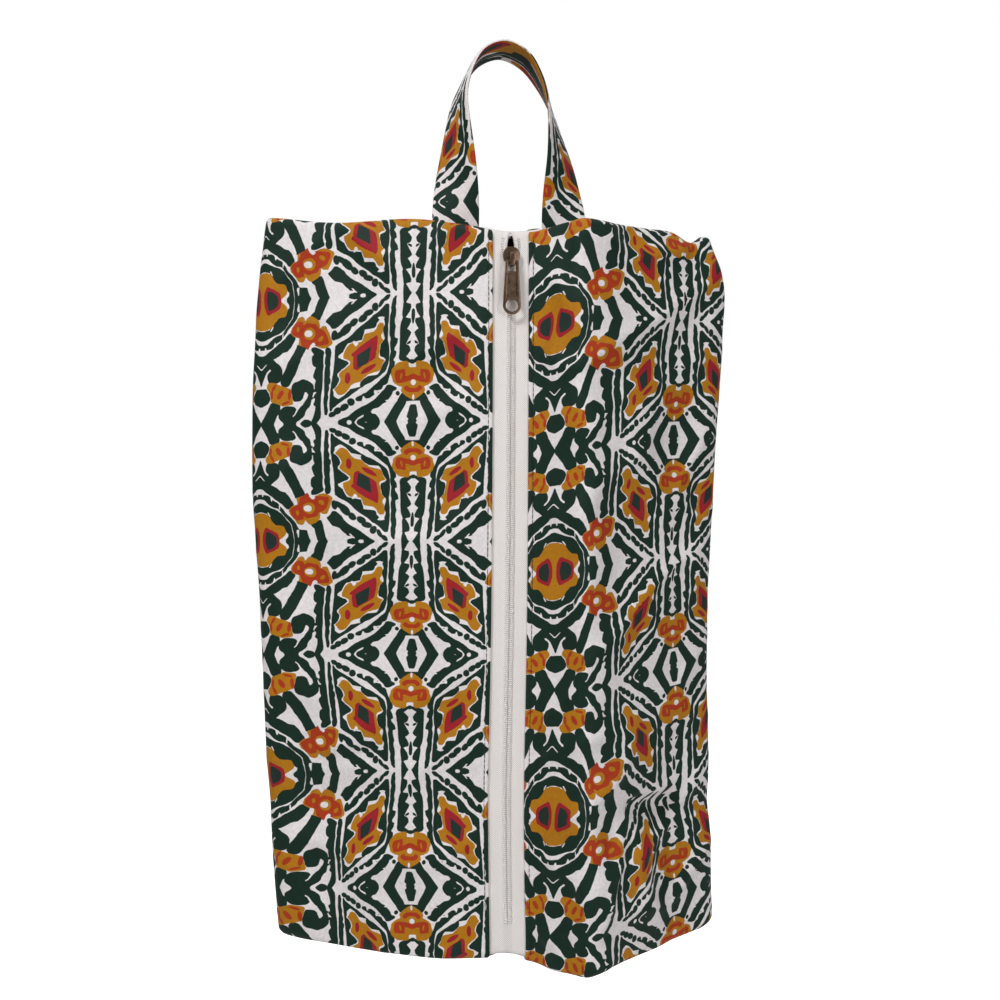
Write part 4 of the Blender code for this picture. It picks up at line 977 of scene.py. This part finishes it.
def panel(name, height, side, replaced):
    # the boxed end inside the rolled rim, with its lengthwise seam
    values = panelValues
    section = ringAt(height)
    roll = side * math.pi / 2
    marks = np.linspace(0, 5, 721)
    front = np.concatenate([marks[marks <= 1][::-1], marks[marks >= 4][::-1]])
    frontCurve = rimCurve(section, front, roll, values["across"])
    backCurve = rimCurve(section, marks[(marks >= 2) & (marks <= 3)], roll, values["across"])
    leftCurve = rimCurve(section, marks[(marks >= 1) & (marks <= 2)], roll, values["deep"])
    rightCurve = rimCurve(section, marks[(marks >= 3) & (marks <= 4)][::-1], roll, values["deep"])
    u = np.linspace(0, 1, values["across"])[None, :, None]
    v = np.linspace(0, 1, values["deep"])[:, None, None]
    patch = (1 - v) * frontCurve[None] + v * backCurve[None]
    patch = patch + (1 - u) * leftCurve[:, None] + u * rightCurve[:, None]
    patch -= (1 - u) * (1 - v) * frontCurve[0] + u * (1 - v) * frontCurve[-1]
    patch -= (1 - u) * v * backCurve[0] + u * v * backCurve[-1]
    share = v[..., 0] * np.ones((1, values["across"]))
    free = 1 - np.cos(math.pi * share) ** 4
    if side < 0:
        patch[..., 2] -= free * bag["gap"]
    else:
        wanted = -bag["loopHeight"] - bag["gap"] - patch[..., 2]
        near = np.exp(-((patch[..., 0] / bag["loopWidth"] / 1.15) ** 8))
        ridge = np.exp(-((patch[..., 1] / bag["depth"] / 0.16) ** 4))
        sag = 1 - values["sag"] * np.exp(-((patch[..., 0] / values["sagHalf"]) ** 4))
        patch[..., 2] += free * near * ridge * sag * wanted
    edge = np.minimum(1, np.minimum(share, 1 - share) * 9)
    seam = np.exp(-((patch[..., 1] / values["seamWidth"]) ** 2)) * values["seamRise"]
    ripples = noiseField(patch.reshape(-1, 3) * (1, 0.4, 1), values["puckerSize"], 2.0).reshape(share.shape)
    ripples *= values["pucker"] * (1 + np.exp(-(patch[..., 1] / values["puckerReach"]) ** 2))
    patch[..., 2] += side * edge * (ripples - values["seamShare"] * seam)
    frontRow = patch[0][None]
    fromFront = patch[..., 1] - frontRow[..., 1]
    drawn = np.exp(-((patch[..., 0] / values["drawnHalf"]) ** 6 + (fromFront / values["drawnReach"]) ** 2))
    patch[..., 2] -= side * drawn * values["drawn"]
    inner = patch.copy()
    inner[..., 2] -= side * bag["wall"]
    uv = np.stack([patch[..., 0] / mm + 30, patch[..., 1] / mm + 20 * side], axis=-1)
    made = wallMesh(name, patch, inner, uv, cotton)
    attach(made, "bag")
    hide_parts(replaced)
    return made


topPanel = panel("topCloth", 0.0, 1, "top_panel")
bottomPanel = panel("bottomCloth", 1.0, -1, "bottom_panel")
print("end panels")


zipValues = {
    "tapeInset": 0.0015, "tapeWall": 0.0010, "coilInset": 0.0, "coilEnd": 0.96,
    "partingTop": 0.0010, "partingHalf": 0.00182,
    "sliderDrop": 0.0130, "sliderWidth": 0.0088, "sliderLength": 0.0096,
    "toothPitch": 0.00104, "toothSize": (0.00116, 0.00056, 0.00037), "toothAt": 0.00110, "toothInset": 0.0010,
    "rimLift": 0.7, "topRise": 0.0010,
}
sliderLevel = topLevel - zipValues["sliderDrop"]


def halfParting(level):
    tip = topLevel - zipValues["partingTop"]
    widest = sliderLevel + zipValues["sliderLength"] / 2
    shut = sliderLevel - zipValues["sliderLength"] / 2
    if level > tip or level < shut:
        return 0.0
    if level > widest:
        return zipValues["partingHalf"] * math.sin(math.pi / 2 * (tip - level) / (tip - widest)) ** 0.6
    return zipValues["partingHalf"] * math.sin(math.pi / 2 * (level - shut) / (widest - shut))


def zipRows(rolls):
    rows = rollSteps(140, rolls)
    fine = zipValues["sliderDrop"] + zipValues["sliderLength"]
    rows += [(step / 40 * fine / bag["height"], 0.0) for step in range(1, 40)]
    rows.sort(key=lambda row: (row[0], -row[1]))
    return rows


def zipTape(side, word):
    # one woven tape, its inner edge a small doubled rim
    stops = np.array((0.03, 0.4, 0.9, 1.5, 2.3, 3.6, 5.0, 7.0, 9.3, 11.5, 15.3)) * mm
    rimLift = np.array((0.0, 0.7, 1.0, 0.8, 0.0, 0.0, 0.0, 0.0, 0.0, 0.0, 0.0)) * zipValues["rimLift"] * mm
    outer, inner, uv = [], [], []
    for height, roll in zipRows(4):
        section = ringAt(height)
        inset = zipValues["tapeInset"] - 0.0012 * max(0.0, roll) / (math.pi / 2)
        level = wallPoints(section, np.array([0.0]), roll, inset)[0][0, 2]
        moved = stops + halfParting(level) * np.clip((bag["slot"] / 2 - stops) / 0.006, 0, 1)
        marks = section.markAt(side * moved)
        swell = min(1.0, halfParting(level) / 0.0006)
        points, _, _ = wallPoints(section, marks, roll, inset - rimLift * swell * max(0.0, math.cos(roll)))
        under = wallPoints(section, marks, roll, inset + zipValues["tapeWall"])[0]
        for layer in (points, under):
            layer[:, 2] += zipValues["topRise"] * max(0.0, math.sin(roll))
        outer.append(points)
        inner.append(under)
        uv.append(np.stack([moved / mm, np.full(len(moved), level / mm + 4 * roll)], axis=-1))
    made = wallMesh(f"zipTape{word}", np.array(outer), np.array(inner), np.array(uv), tapeCloth)
    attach(made, "bag")
    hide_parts(f"zip_tape_{word.lower()}")
    return made


for side, word in ((-1, "Left"), (1, "Right")):
    zipTape(side, word)
print("zip tapes")


def repeatTree():
    # rounded bits set along a path, each turned to the path and to the cloth's face
    tree = bpy.data.node_groups.new("repeatAlong", "GeometryNodeTree")
    for name, kind in (("Geometry", "Geometry"), ("Spacing", "Float"), ("Size", "Vector"), ("Lift", "Float"),
                       ("Jitter", "Float"), ("Seed", "Int"), ("Material", "Material")):
        tree.interface.new_socket(name, in_out="INPUT", socket_type="NodeSocket" + kind)
    tree.interface.new_socket("Geometry", in_out="OUTPUT", socket_type="NodeSocketGeometry")
    given = addNode(tree, "NodeGroupInput").node.outputs
    curve = addNode(tree, "GeometryNodeMeshToCurve", {"Mesh": given["Geometry"]})
    spaced = addNode(tree, "GeometryNodeResampleCurve",
                     {"Curve": curve, "Length": given["Spacing"]}, mode="LENGTH")
    outward = addNode(tree, "GeometryNodeInputNamedAttribute", {"Name": "outward"}, data_type="FLOAT_VECTOR")
    lifted = addNode(tree, "ShaderNodeVectorMath", {0: outward, "Scale": given["Lift"]}, operation="SCALE")
    raised = addNode(tree, "GeometryNodeSetPosition", {"Geometry": spaced, "Offset": lifted})
    tangent = addNode(tree, "GeometryNodeInputTangent")
    turned = addNode(tree, "FunctionNodeAlignRotationToVector", {"Vector": tangent}, axis="Z")
    faced = addNode(tree, "FunctionNodeAlignRotationToVector",
                    {"Rotation": turned, "Vector": outward}, axis="Y", pivot_axis="Z")
    least = addNode(tree, "ShaderNodeMath", {0: 1.0, 1: given["Jitter"]}, operation="SUBTRACT")
    most = addNode(tree, "ShaderNodeMath", {0: 1.0, 1: given["Jitter"]}, operation="ADD")
    chance = addNode(tree, "FunctionNodeRandomValue",
                     {2: least, 3: most, "Seed": given["Seed"]}, 1, data_type="FLOAT")
    size = addNode(tree, "ShaderNodeVectorMath", {0: given["Size"], "Scale": chance}, operation="SCALE")
    ball = addNode(tree, "GeometryNodeMeshUVSphere", {"Segments": 8, "Rings": 5, "Radius": 1.0})
    smooth = addNode(tree, "GeometryNodeSetShadeSmooth", {"Geometry": ball})
    placed = addNode(tree, "GeometryNodeInstanceOnPoints",
                     {"Points": raised, "Instance": smooth, "Rotation": faced, "Scale": size})
    real = addNode(tree, "GeometryNodeRealizeInstances", {"Geometry": placed})
    coloured = addNode(tree, "GeometryNodeSetMaterial", {"Geometry": real, "Material": given["Material"]})
    setInputs(tree, tree.nodes.new("NodeGroupOutput"), {0: coloured})
    return tree


alongTree = repeatTree()


def repeatAlong(name, paths, spacing, size, lift, jitter, seed, material):
    # one plain mesh of bits along several paths of (points, outward normals)
    points, outward, edges = [], [], []
    for line, normals in paths:
        start = len(points)
        points += [tuple(p) for p in line]
        outward += [tuple(n) for n in normals]
        edges += [(start + k, start + k + 1) for k in range(len(line) - 1)]
    mesh = bpy.data.meshes.new(name + "Path")
    mesh.from_pydata(points, edges, [])
    attribute = mesh.attributes.new("outward", "FLOAT_VECTOR", "POINT")
    attribute.data.foreach_set("vector", np.array(outward, dtype=np.float32).ravel())
    holder = bpy.data.objects.new(name + "Path", mesh)
    scene.collection.objects.link(holder)
    change = holder.modifiers.new("repeat", "NODES")
    change.node_group = alongTree
    names = {item.name: item.identifier for item in alongTree.interface.items_tree if item.in_out == "INPUT"}
    for key, value in {"Spacing": spacing, "Size": size, "Lift": lift, "Jitter": jitter, "Seed": seed,
                       "Material": material}.items():
        change[names[key]] = value
    graph = bpy.context.evaluated_depsgraph_get()
    made = bpy.data.meshes.new_from_object(holder.evaluated_get(graph), depsgraph=graph)
    made.name = name
    if "outward" in made.attributes:
        made.attributes.remove(made.attributes["outward"])
    bpy.data.objects.remove(holder)
    piece = bpy.data.objects.new(name, made)
    scene.collection.objects.link(piece)
    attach(piece, "bag")
    return piece


def pathBeside(side, distance, inset, first, last, count, parts=False):
    # a path down the front at a distance from the zip's middle, with the cloth's normals
    line, normals = [], []
    for height in np.linspace(first, last, count):
        section = ringAt(float(height))
        level = wallPoints(section, np.array([0.0]), 0.0, 0.0)[0][0, 2]
        moved = distance + (halfParting(level) if parts else 0.0)
        points, _, normal = wallPoints(section, np.atleast_1d(section.markAt(side * moved)), 0.0, inset)
        line.append(points[0])
        normals.append((normal[0][0], normal[0][1], 0.0))
    return line, normals


for side, word in ((-1, "Left"), (1, "Right")):
    start = 0.0 if side < 0 else zipValues["toothPitch"] / 2 / bag["height"]
    path = pathBeside(side, zipValues["toothAt"], zipValues["toothInset"], start,
                      zipValues["coilEnd"], 120, True)
    made = repeatAlong(f"coilTeeth{word}", [path], zipValues["toothPitch"], zipValues["toothSize"],
                       0.0, 0.04, 3 + side, nylon)
    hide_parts(f"zip_coil_{word.lower()}")
print("coil teeth")


stitchValues = {
    "pitch": 0.0028, "size": (0.00020, 0.00016, 0.00136), "fromZip": 0.0115, "sink": 0.00012,
    "rimPitch": 0.0013, "rimSize": (0.00016, 0.00012, 0.00042), "rimRows": (0.00215, 0.0029),
    "rimInset": 0.0013, "rimEnd": 0.030,
}
paths = [pathBeside(side, stitchValues["fromZip"], 0.0, 0.004, 0.996, 120) for side in (-1, 1)]
topStitch = repeatAlong("topStitch", paths, stitchValues["pitch"], stitchValues["size"],
                        -stitchValues["sink"], 0.08, 5, seamThread)
paths = [pathBeside(side, distance, stitchValues["rimInset"], 0.0, stitchValues["rimEnd"], 30, True)
         for side in (-1, 1) for distance in stitchValues["rimRows"]]
rimStitch = repeatAlong("tapeStitch", paths, stitchValues["rimPitch"], stitchValues["rimSize"],
                        0.0, 0.1, 7, paleThread)
print("stitches")


def plateMesh(outlines, extrude, bevel):
    # a flat plate from closed outlines in X and Z, holes included, with rounded edges
    curve = bpy.data.curves.new("plate", "CURVE")
    curve.dimensions = "2D"
    curve.fill_mode = "BOTH"
    curve.extrude = extrude
    curve.bevel_depth = bevel
    curve.bevel_resolution = 2
    curve.offset = -bevel
    for outline in outlines:
        run = curve.splines.new("POLY")
        run.points.add(len(outline) - 1)
        for point, (x, z) in zip(run.points, outline):
            point.co = (x, z, 0, 1)
        run.use_cyclic_u = True
    holder = bpy.data.objects.new("plate", curve)
    scene.collection.objects.link(holder)
    graph = bpy.context.evaluated_depsgraph_get()
    mesh = bpy.data.meshes.new_from_object(holder.evaluated_get(graph), depsgraph=graph)
    bpy.data.objects.remove(holder)
    shape = bmesh.new()
    shape.from_mesh(mesh)
    bmesh.ops.remove_doubles(shape, verts=shape.verts, dist=1e-6)
    for vert in shape.verts:
        x, z, out = vert.co
        vert.co = (x, -out, z)
    return shape


def joined(name, shapes, offset, materials, body):
    # one piece from bmesh shapes at an offset, with its faces turned outwards
    whole = bmesh.new()
    for shape, move, index in shapes:
        part = bpy.data.meshes.new("part")
        for face in shape.faces:
            face.material_index = index
        for vert in shape.verts:
            vert.co = vert.co + Vector(move) + Vector(offset)
        shape.to_mesh(part)
        shape.free()
        whole.from_mesh(part)
    bmesh.ops.recalc_face_normals(whole, faces=whole.faces)
    mesh = bpy.data.meshes.new(name)
    whole.to_mesh(mesh)
    whole.free()
    mesh.shade_smooth()
    mesh.set_sharp_from_angle(angle=math.radians(38))
    mesh.materials.clear()
    for material in materials:
        mesh.materials.append(material)
    piece = bpy.data.objects.new(name, mesh)
    scene.collection.objects.link(piece)
    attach(piece, body)
    return piece


def faceAtSlider():
    rounding = bag["edgeRound"]
    share = (zipValues["sliderDrop"] - rounding) / (bag["height"] - 2 * rounding)
    return Section(share).flat(np.array([0.0]))[0][0]


def slab(profile, half, bevel):
    # a profile in Z and outward height, drawn out across the zip, with rounded edges
    shape = bmesh.new()
    left = [shape.verts.new((-half, -h, z)) for z, h in profile]
    right = [shape.verts.new((half, -h, z)) for z, h in profile]
    shape.faces.new(left)
    shape.faces.new(right[::-1])
    for k in range(len(profile)):
        n = (k + 1) % len(profile)
        shape.faces.new((left[n], left[k], right[k], right[n]))
    bmesh.ops.recalc_face_normals(shape, faces=shape.faces)
    sharp = [e for e in shape.edges if e.calc_face_angle(0) > 0.5]
    bmesh.ops.bevel(shape, geom=sharp, offset=bevel, segments=2, affect="EDGES", profile=0.6)
    return shape


sliderValues = {
    "plate": 0.0011, "edge": 0.00032, "rearEdge": 0.0003, "taper": 0.05, "squarer": 0.02,
    "discScale": 0.52, "disc": 0.0001, "discRise": 0.0010,
    "postTop": 0.92, "postLength": 0.0022, "postNarrow": 0.55,
    "bridgeWall": 0.0008, "bridgeHeight": 0.0030, "barRoom": 0.0018, "bridgeFoot": 0.80,
    "bridgeHalf": 0.0010, "bridgeEdge": 0.0003, "bridgeToe": 0.0011, "bridgeChin": 0.0006,
    "bridgeWiden": 1.35, "bridgeNarrow": 0.6,
}


def shieldOutline(scale):
    values = sliderValues
    outline = []
    for step in range(48):
        angle = 2 * math.pi * step / 48
        square = 1 - values["squarer"] * math.cos(4 * angle)
        taper = 1 + values["taper"] * math.sin(angle)
        outline.append((zipValues["sliderWidth"] / 2 * math.cos(angle) * square * taper * scale,
                        zipValues["sliderLength"] / 2 * math.sin(angle) * square * scale))
    return outline


def zipSlider():
    # the slider: two shield plates, the post between them, and the bridge
    values = sliderValues
    x, y = faceAtSlider()
    gap, plate, room = bag["gap"], values["plate"], values["barRoom"]
    wall, height, length = values["bridgeWall"], values["bridgeHeight"], zipValues["sliderLength"]
    face = y + zipValues["coilInset"] - gap
    behind = y + zipValues["tapeInset"] + zipValues["tapeWall"] + gap
    low = -length / 2
    front = plateMesh([shieldOutline(1.0)], plate / 2 - values["edge"], values["edge"])
    disc = plateMesh([shieldOutline(values["discScale"])], values["disc"], values["disc"])
    rear = plateMesh([shieldOutline(1.0)], plate / 2 - values["rearEdge"], values["rearEdge"])
    half, top = zipValues["partingHalf"] - gap, length / 2 * values["postTop"]
    foot, narrow = top - values["postLength"], half * values["postNarrow"]
    post = plateMesh([[(-half, top), (half, top), (narrow, foot), (-narrow, foot)]],
                     (behind - face) / 2 + plate / 4, 0.0)
    arm = low + length * values["bridgeFoot"]
    profile = [(low, 0.0), (low - values["bridgeToe"], room * 0.6),
               (low - values["bridgeChin"], height * 0.86), (low + wall, height),
               (low + 0.0034, height * 1.06), (low + 0.006, height * 0.76),
               (arm, 0.0), (arm, -plate / 2), (low + wall + room, -plate / 2), (low + wall + room, room),
               (low + wall, room), (low + wall, -plate / 2), (low, -plate / 2)]
    bridge = slab(profile, values["bridgeHalf"], values["bridgeEdge"])
    for vert in bridge.verts:
        vert.co.x *= values["bridgeWiden"] - values["bridgeNarrow"] * (vert.co.z - low) / length
    shapes = [(front, (0, face - plate / 2, 0), 0), (disc, (0, face - plate, values["discRise"]), 0),
              (rear, (0, behind + plate / 2, 0), 0), (post, (0, (face + behind) / 2, 0), 0),
              (bridge, (0, face - plate, 0), 0)]
    made = joined("zipSlider", shapes, (x, 0, sliderLevel), [brass], "bag")
    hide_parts("zip_slider")
    return made


def ringOutline(radiusX, radiusZ, centre, count):
    angles = [2 * math.pi * k / count for k in range(count)]
    return [(radiusX * math.cos(angle), centre + radiusZ * math.sin(angle)) for angle in angles]


def cornered(halfTop, halfLow, top, low, corner):
    # a tapered window with rounded corners, as points in X and Z
    points = []
    for x, z, start in ((halfTop, top, 0), (-halfTop, top, 90), (-halfLow, low, 180), (halfLow, low, 270)):
        cx = x - math.copysign(corner, x)
        cz = z - corner if z == top else z + corner
        for k in range(5):
            angle = math.radians(start + 90 * k / 4)
            points.append((cx + corner * math.cos(angle), cz + corner * math.sin(angle)))
    return points
pullerValues = {
    "length": 0.0274, "topWidth": 0.0068, "endWidth": 0.0092, "wall": 0.0012, "bar": 0.0012,
    "shoulder": 0.00065, "edge": 0.00028,
    "windowLength": 0.0044, "windowRim": 0.0014, "windowCorner": 0.0006,
    "rim": 0.0013, "hole": 0.0062, "panelLength": 0.0122, "panelWiden": 1.2, "panelCorner": 0.0007,
    "floorHalf": 0.0002, "floorLap": 0.0004, "floorBack": 0.00024,
}


def zipPuller():
    # the puller: a rimmed plate with a window, a sunk panel and a round eye
    values = pullerValues
    x, y = faceAtSlider()
    gap, plate, lap = bag["gap"], sliderValues["plate"], values["floorLap"]
    top, shoulder, halfTop = values["bar"] / 2, values["shoulder"], values["topWidth"] / 2
    hinge = (x, y + zipValues["coilInset"] - gap - plate - gap - top,
             sliderLevel - zipValues["sliderLength"] / 2 + sliderValues["bridgeWall"] + gap + top)
    endRadius = values["endWidth"] / 2
    centre = top - values["length"] + endRadius
    outline = [(-halfTop + shoulder, top), (halfTop - shoulder, top), (halfTop, top - shoulder)]
    outline += [(endRadius * math.cos(-math.pi * k / 28), centre + endRadius * math.sin(-math.pi * k / 28))
                for k in range(29)]
    outline.append((-halfTop, top - shoulder))
    halfWindow = halfTop - values["windowRim"]
    window = cornered(halfWindow, halfWindow, -top, -top - values["windowLength"], values["windowCorner"])
    high = -top - values["windowLength"] - values["rim"]
    low, corner = high - values["panelLength"], values["panelCorner"]
    halfHigh = halfTop - values["rim"]
    halfLow = halfHigh * values["panelWiden"]
    sunk = cornered(halfHigh, halfLow, high, low, corner)
    eye = ringOutline(values["hole"] / 2, values["hole"] / 2, centre, 40)
    rimmed = plateMesh([outline, window, sunk, eye], values["wall"] / 2 - values["edge"], values["edge"])
    floor = plateMesh([cornered(halfHigh + lap, halfLow + lap, high + lap, low - lap, corner + 0.0001)],
                      values["floorHalf"], 0.0)
    made = joined("zipPuller", [(rimmed, (0, 0, 0), 0), (floor, (0, values["floorBack"], 0), 1)], hinge,
                  [brass, darkBrass], "puller")
    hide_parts("zip_puller")
    return made


zipSlider()
zipPuller()
print("slider and puller")
strapValues = {
    "width": 0.0248, "wall": 0.0018, "each": 14, "across": 13, "twistPower": 1.5,
    "leftU": (50.0, 77.0), "rightU": (54.0, 79.0), "bulge": 0.0004,
    "wave": 0.0008, "waveRun": 16,              # how far the strap strays, and over how many mm
    "leftLevel": -0.081, "rightLevel": -0.083,  # where the print's rows are matched in each leg
    "leftV": 62.0, "rightV": -49.0, "plainLeg": 55,
}
strapLine = (
    (-0.430, 0.00), (-0.425, 0.18), (-0.418, 0.36), (-0.412, 0.56), (-0.395, 0.71),
    (-0.320, 0.84), (-0.190, 0.955), (0.000, 1.00), (0.200, 0.945), (0.335, 0.83),
    (0.428, 0.69), (0.488, 0.52), (0.526, 0.36), (0.545, 0.18), (0.565, 0.00))


def handleLoop():
    # the handle: one flat folded strap, edge on to the front at its top
    values = strapValues
    line = [(side * bag["loopWidth"], 0.0, (rise - 1) * bag["loopHeight"] + rise * values["wall"] / 2)
            for side, rise in strapLine]
    path = spline(line, False, values["each"])
    tangent = np.gradient(path, axis=0)
    tangent /= np.linalg.norm(tangent, axis=1)[:, None]
    rise = np.clip((path[:, 2] - path[0, 2]) / bag["loopHeight"], 0, 1)
    turn = math.pi / 2 * (1 - (1 - rise) ** values["twistPower"])
    flatAcross = np.column_stack([tangent[:, 2], np.zeros(len(path)), -tangent[:, 0]])
    across = np.cos(turn)[:, None] * flatAcross + np.sin(turn)[:, None] * np.array([0.0, -1.0, 0.0])
    across /= np.linalg.norm(across, axis=1)[:, None]
    out = np.cross(across, tangent)
    shares = np.sin(np.linspace(-math.pi / 2, math.pi / 2, values["across"]))
    thick = values["wall"] / 2 * np.sqrt(np.clip(1 - np.abs(shares) ** 14, 0.12, 1))
    steps = np.linalg.norm(np.diff(path, axis=0), axis=1)
    length = np.concatenate([[0.0], np.cumsum(steps)]) / mm
    wave = np.array([noise.noise(Vector((d / values["waveRun"], 0.3, 0))) for d in length]) * values["wave"]
    swell = values["bulge"] * (1 - shares**2)
    lean = wave[:, None] * np.cos(np.pi * shares / 2)[None]
    loft = np.clip(rise * 6, 0, 1)[:, None]
    centre = (path[:, None] + shares[None, :, None] * values["width"] / 2 * across[:, None]
              + out[:, None] * (lean * loft)[..., None])
    outer = centre + out[:, None] * (thick + swell * loft)[..., None]
    inner = centre - out[:, None] * (thick[None] * np.ones_like(loft))[..., None]
    for end in (0, -1):
        outer[end, :, 2] = -bag["loopHeight"]
        inner[end, :, 2] = -bag["loopHeight"]
    middle, plain = len(path) // 2, values["plainLeg"]
    leftAt = np.interp(values["leftLevel"], path[:middle, 2], length[:middle])
    rightAt = np.interp(-values["rightLevel"], -path[middle:, 2], length[middle:])
    overTop = np.clip((length - leftAt - plain) / (rightAt - leftAt - 2 * plain), 0, 1)
    overTop = overTop * overTop * (3 - 2 * overTop)
    v = ((values["leftV"] - length + leftAt) * (1 - overTop)
         + (values["rightV"] - length + rightAt) * overTop)
    blend = np.clip((length / length[-1] - 0.4) / 0.2, 0, 1)[:, None]
    fromLeft, fromRight = (low + (high - low) * (shares + 1) / 2
                           for low, high in (values["leftU"], values["rightU"]))
    u = fromLeft[None] * (1 - blend) + fromRight[None] * blend
    uv = np.stack([u, v[:, None] * np.ones_like(u)], axis=-1)
    under = np.stack([values["rightU"][1] - u, uv[..., 1]], axis=-1)
    made = wallMesh("handleLoop", outer, inner, uv, cotton, sharp=75, uvInner=under)
    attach(made, "bag")
    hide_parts("handle_strap")
    return made


handleLoop()
print("handle")


stageValues = {
    "floor": -0.95,
    "size": 14.0,
    "colour": "#F6F6F6",
    "roughness": 0.9,
    "glow": 0.95,
    "worldSeen": 1.0,
    "worldLight": 0.15,
}


def stage():
    values = stageValues
    mesh = bpy.data.meshes.new("floor")
    corners = ((-1, -1), (1, -1), (1, 1), (-1, 1))
    mesh.from_pydata([(x * values["size"] / 2, y * values["size"] / 2, values["floor"]) for x, y in corners],
                     [], [(0, 1, 2, 3)])
    made, tree, shader = newMaterial("paleFloor")
    seen = addNode(tree, "ShaderNodeLightPath", output="Is Camera Ray")
    setInputs(tree, shader, {
        "Base Color": linear(values["colour"]), "Roughness": values["roughness"],
        "Emission Color": (1, 1, 1, 1), "Emission Strength": addNode(
            tree, "ShaderNodeMath", {0: seen, 1: values["glow"]}, operation="MULTIPLY")})
    mesh.materials.append(made)
    floor = bpy.data.objects.new("floor", mesh)
    scene.collection.objects.link(floor)
    world = bpy.data.worlds.new("studio")
    world.use_nodes = True
    tree = world.node_tree
    seen = addNode(tree, "ShaderNodeLightPath", output="Is Camera Ray")
    dim, bright = values["worldLight"], values["worldSeen"]
    strength = addNode(tree, "ShaderNodeMath", {0: seen, 1: bright - dim, 2: dim}, operation="MULTIPLY_ADD")
    setInputs(tree, tree.nodes["Background"], {"Color": (1, 1, 1, 1), "Strength": strength})
    scene.world = world
    scene.view_settings.view_transform = "Standard"


bagAim, floorAim = (0, 0, -0.28), (0, 1.6, -1.0)
lights = {
    # place, aim, size, watts
    "keySoftbox": ((-0.85, -0.95, 0.85), bagAim, 0.35, 15.4),
    "fillSoftbox": ((0.9, -1.4, -0.1), bagAim, 0.8, 7.6),
    "topSoftbox": ((0.0, -0.2, 1.2), bagAim, 1.2, 4.0),
    "floorWash": ((0.0, 1.6, 0.6), floorAim, 2.2, 12.0),
}


def lighting():
    for name, (place, aim, size, watts) in lights.items():
        light = bpy.data.lights.new(name, "AREA")
        light.shape = "SQUARE"
        light.size = size
        light.energy = watts
        lamp = bpy.data.objects.new(name, light)
        scene.collection.objects.link(lamp)
        lamp.location = place
        lamp.rotation_euler = (Vector(aim) - Vector(place)).to_track_quat("-Z", "Y").to_euler()


cameraValues = {
    "distance": 0.612,
    "side": -0.0016,
    "height": -0.2567,
    "azimuth": -8.0,
    "lens": 41.4,
    "shiftY": 0.034,
}


def camera():
    values = cameraValues
    turn = math.radians(values["azimuth"])
    forward = Vector((-math.sin(turn), math.cos(turn), 0))
    right = Vector((math.cos(turn), math.sin(turn), 0))
    lens = bpy.data.cameras.new("camera")
    lens.lens = values["lens"]
    lens.sensor_width = 36
    lens.shift_y = values["shiftY"]
    made = bpy.data.objects.new("camera", lens)
    scene.collection.objects.link(made)
    made.location = -values["distance"] * forward + values["side"] * right + Vector((0, 0, values["height"]))
    made.rotation_euler = (math.pi / 2, 0, turn)
    scene.camera = made


stage()
lighting()
camera()
print("stage, lights and camera")
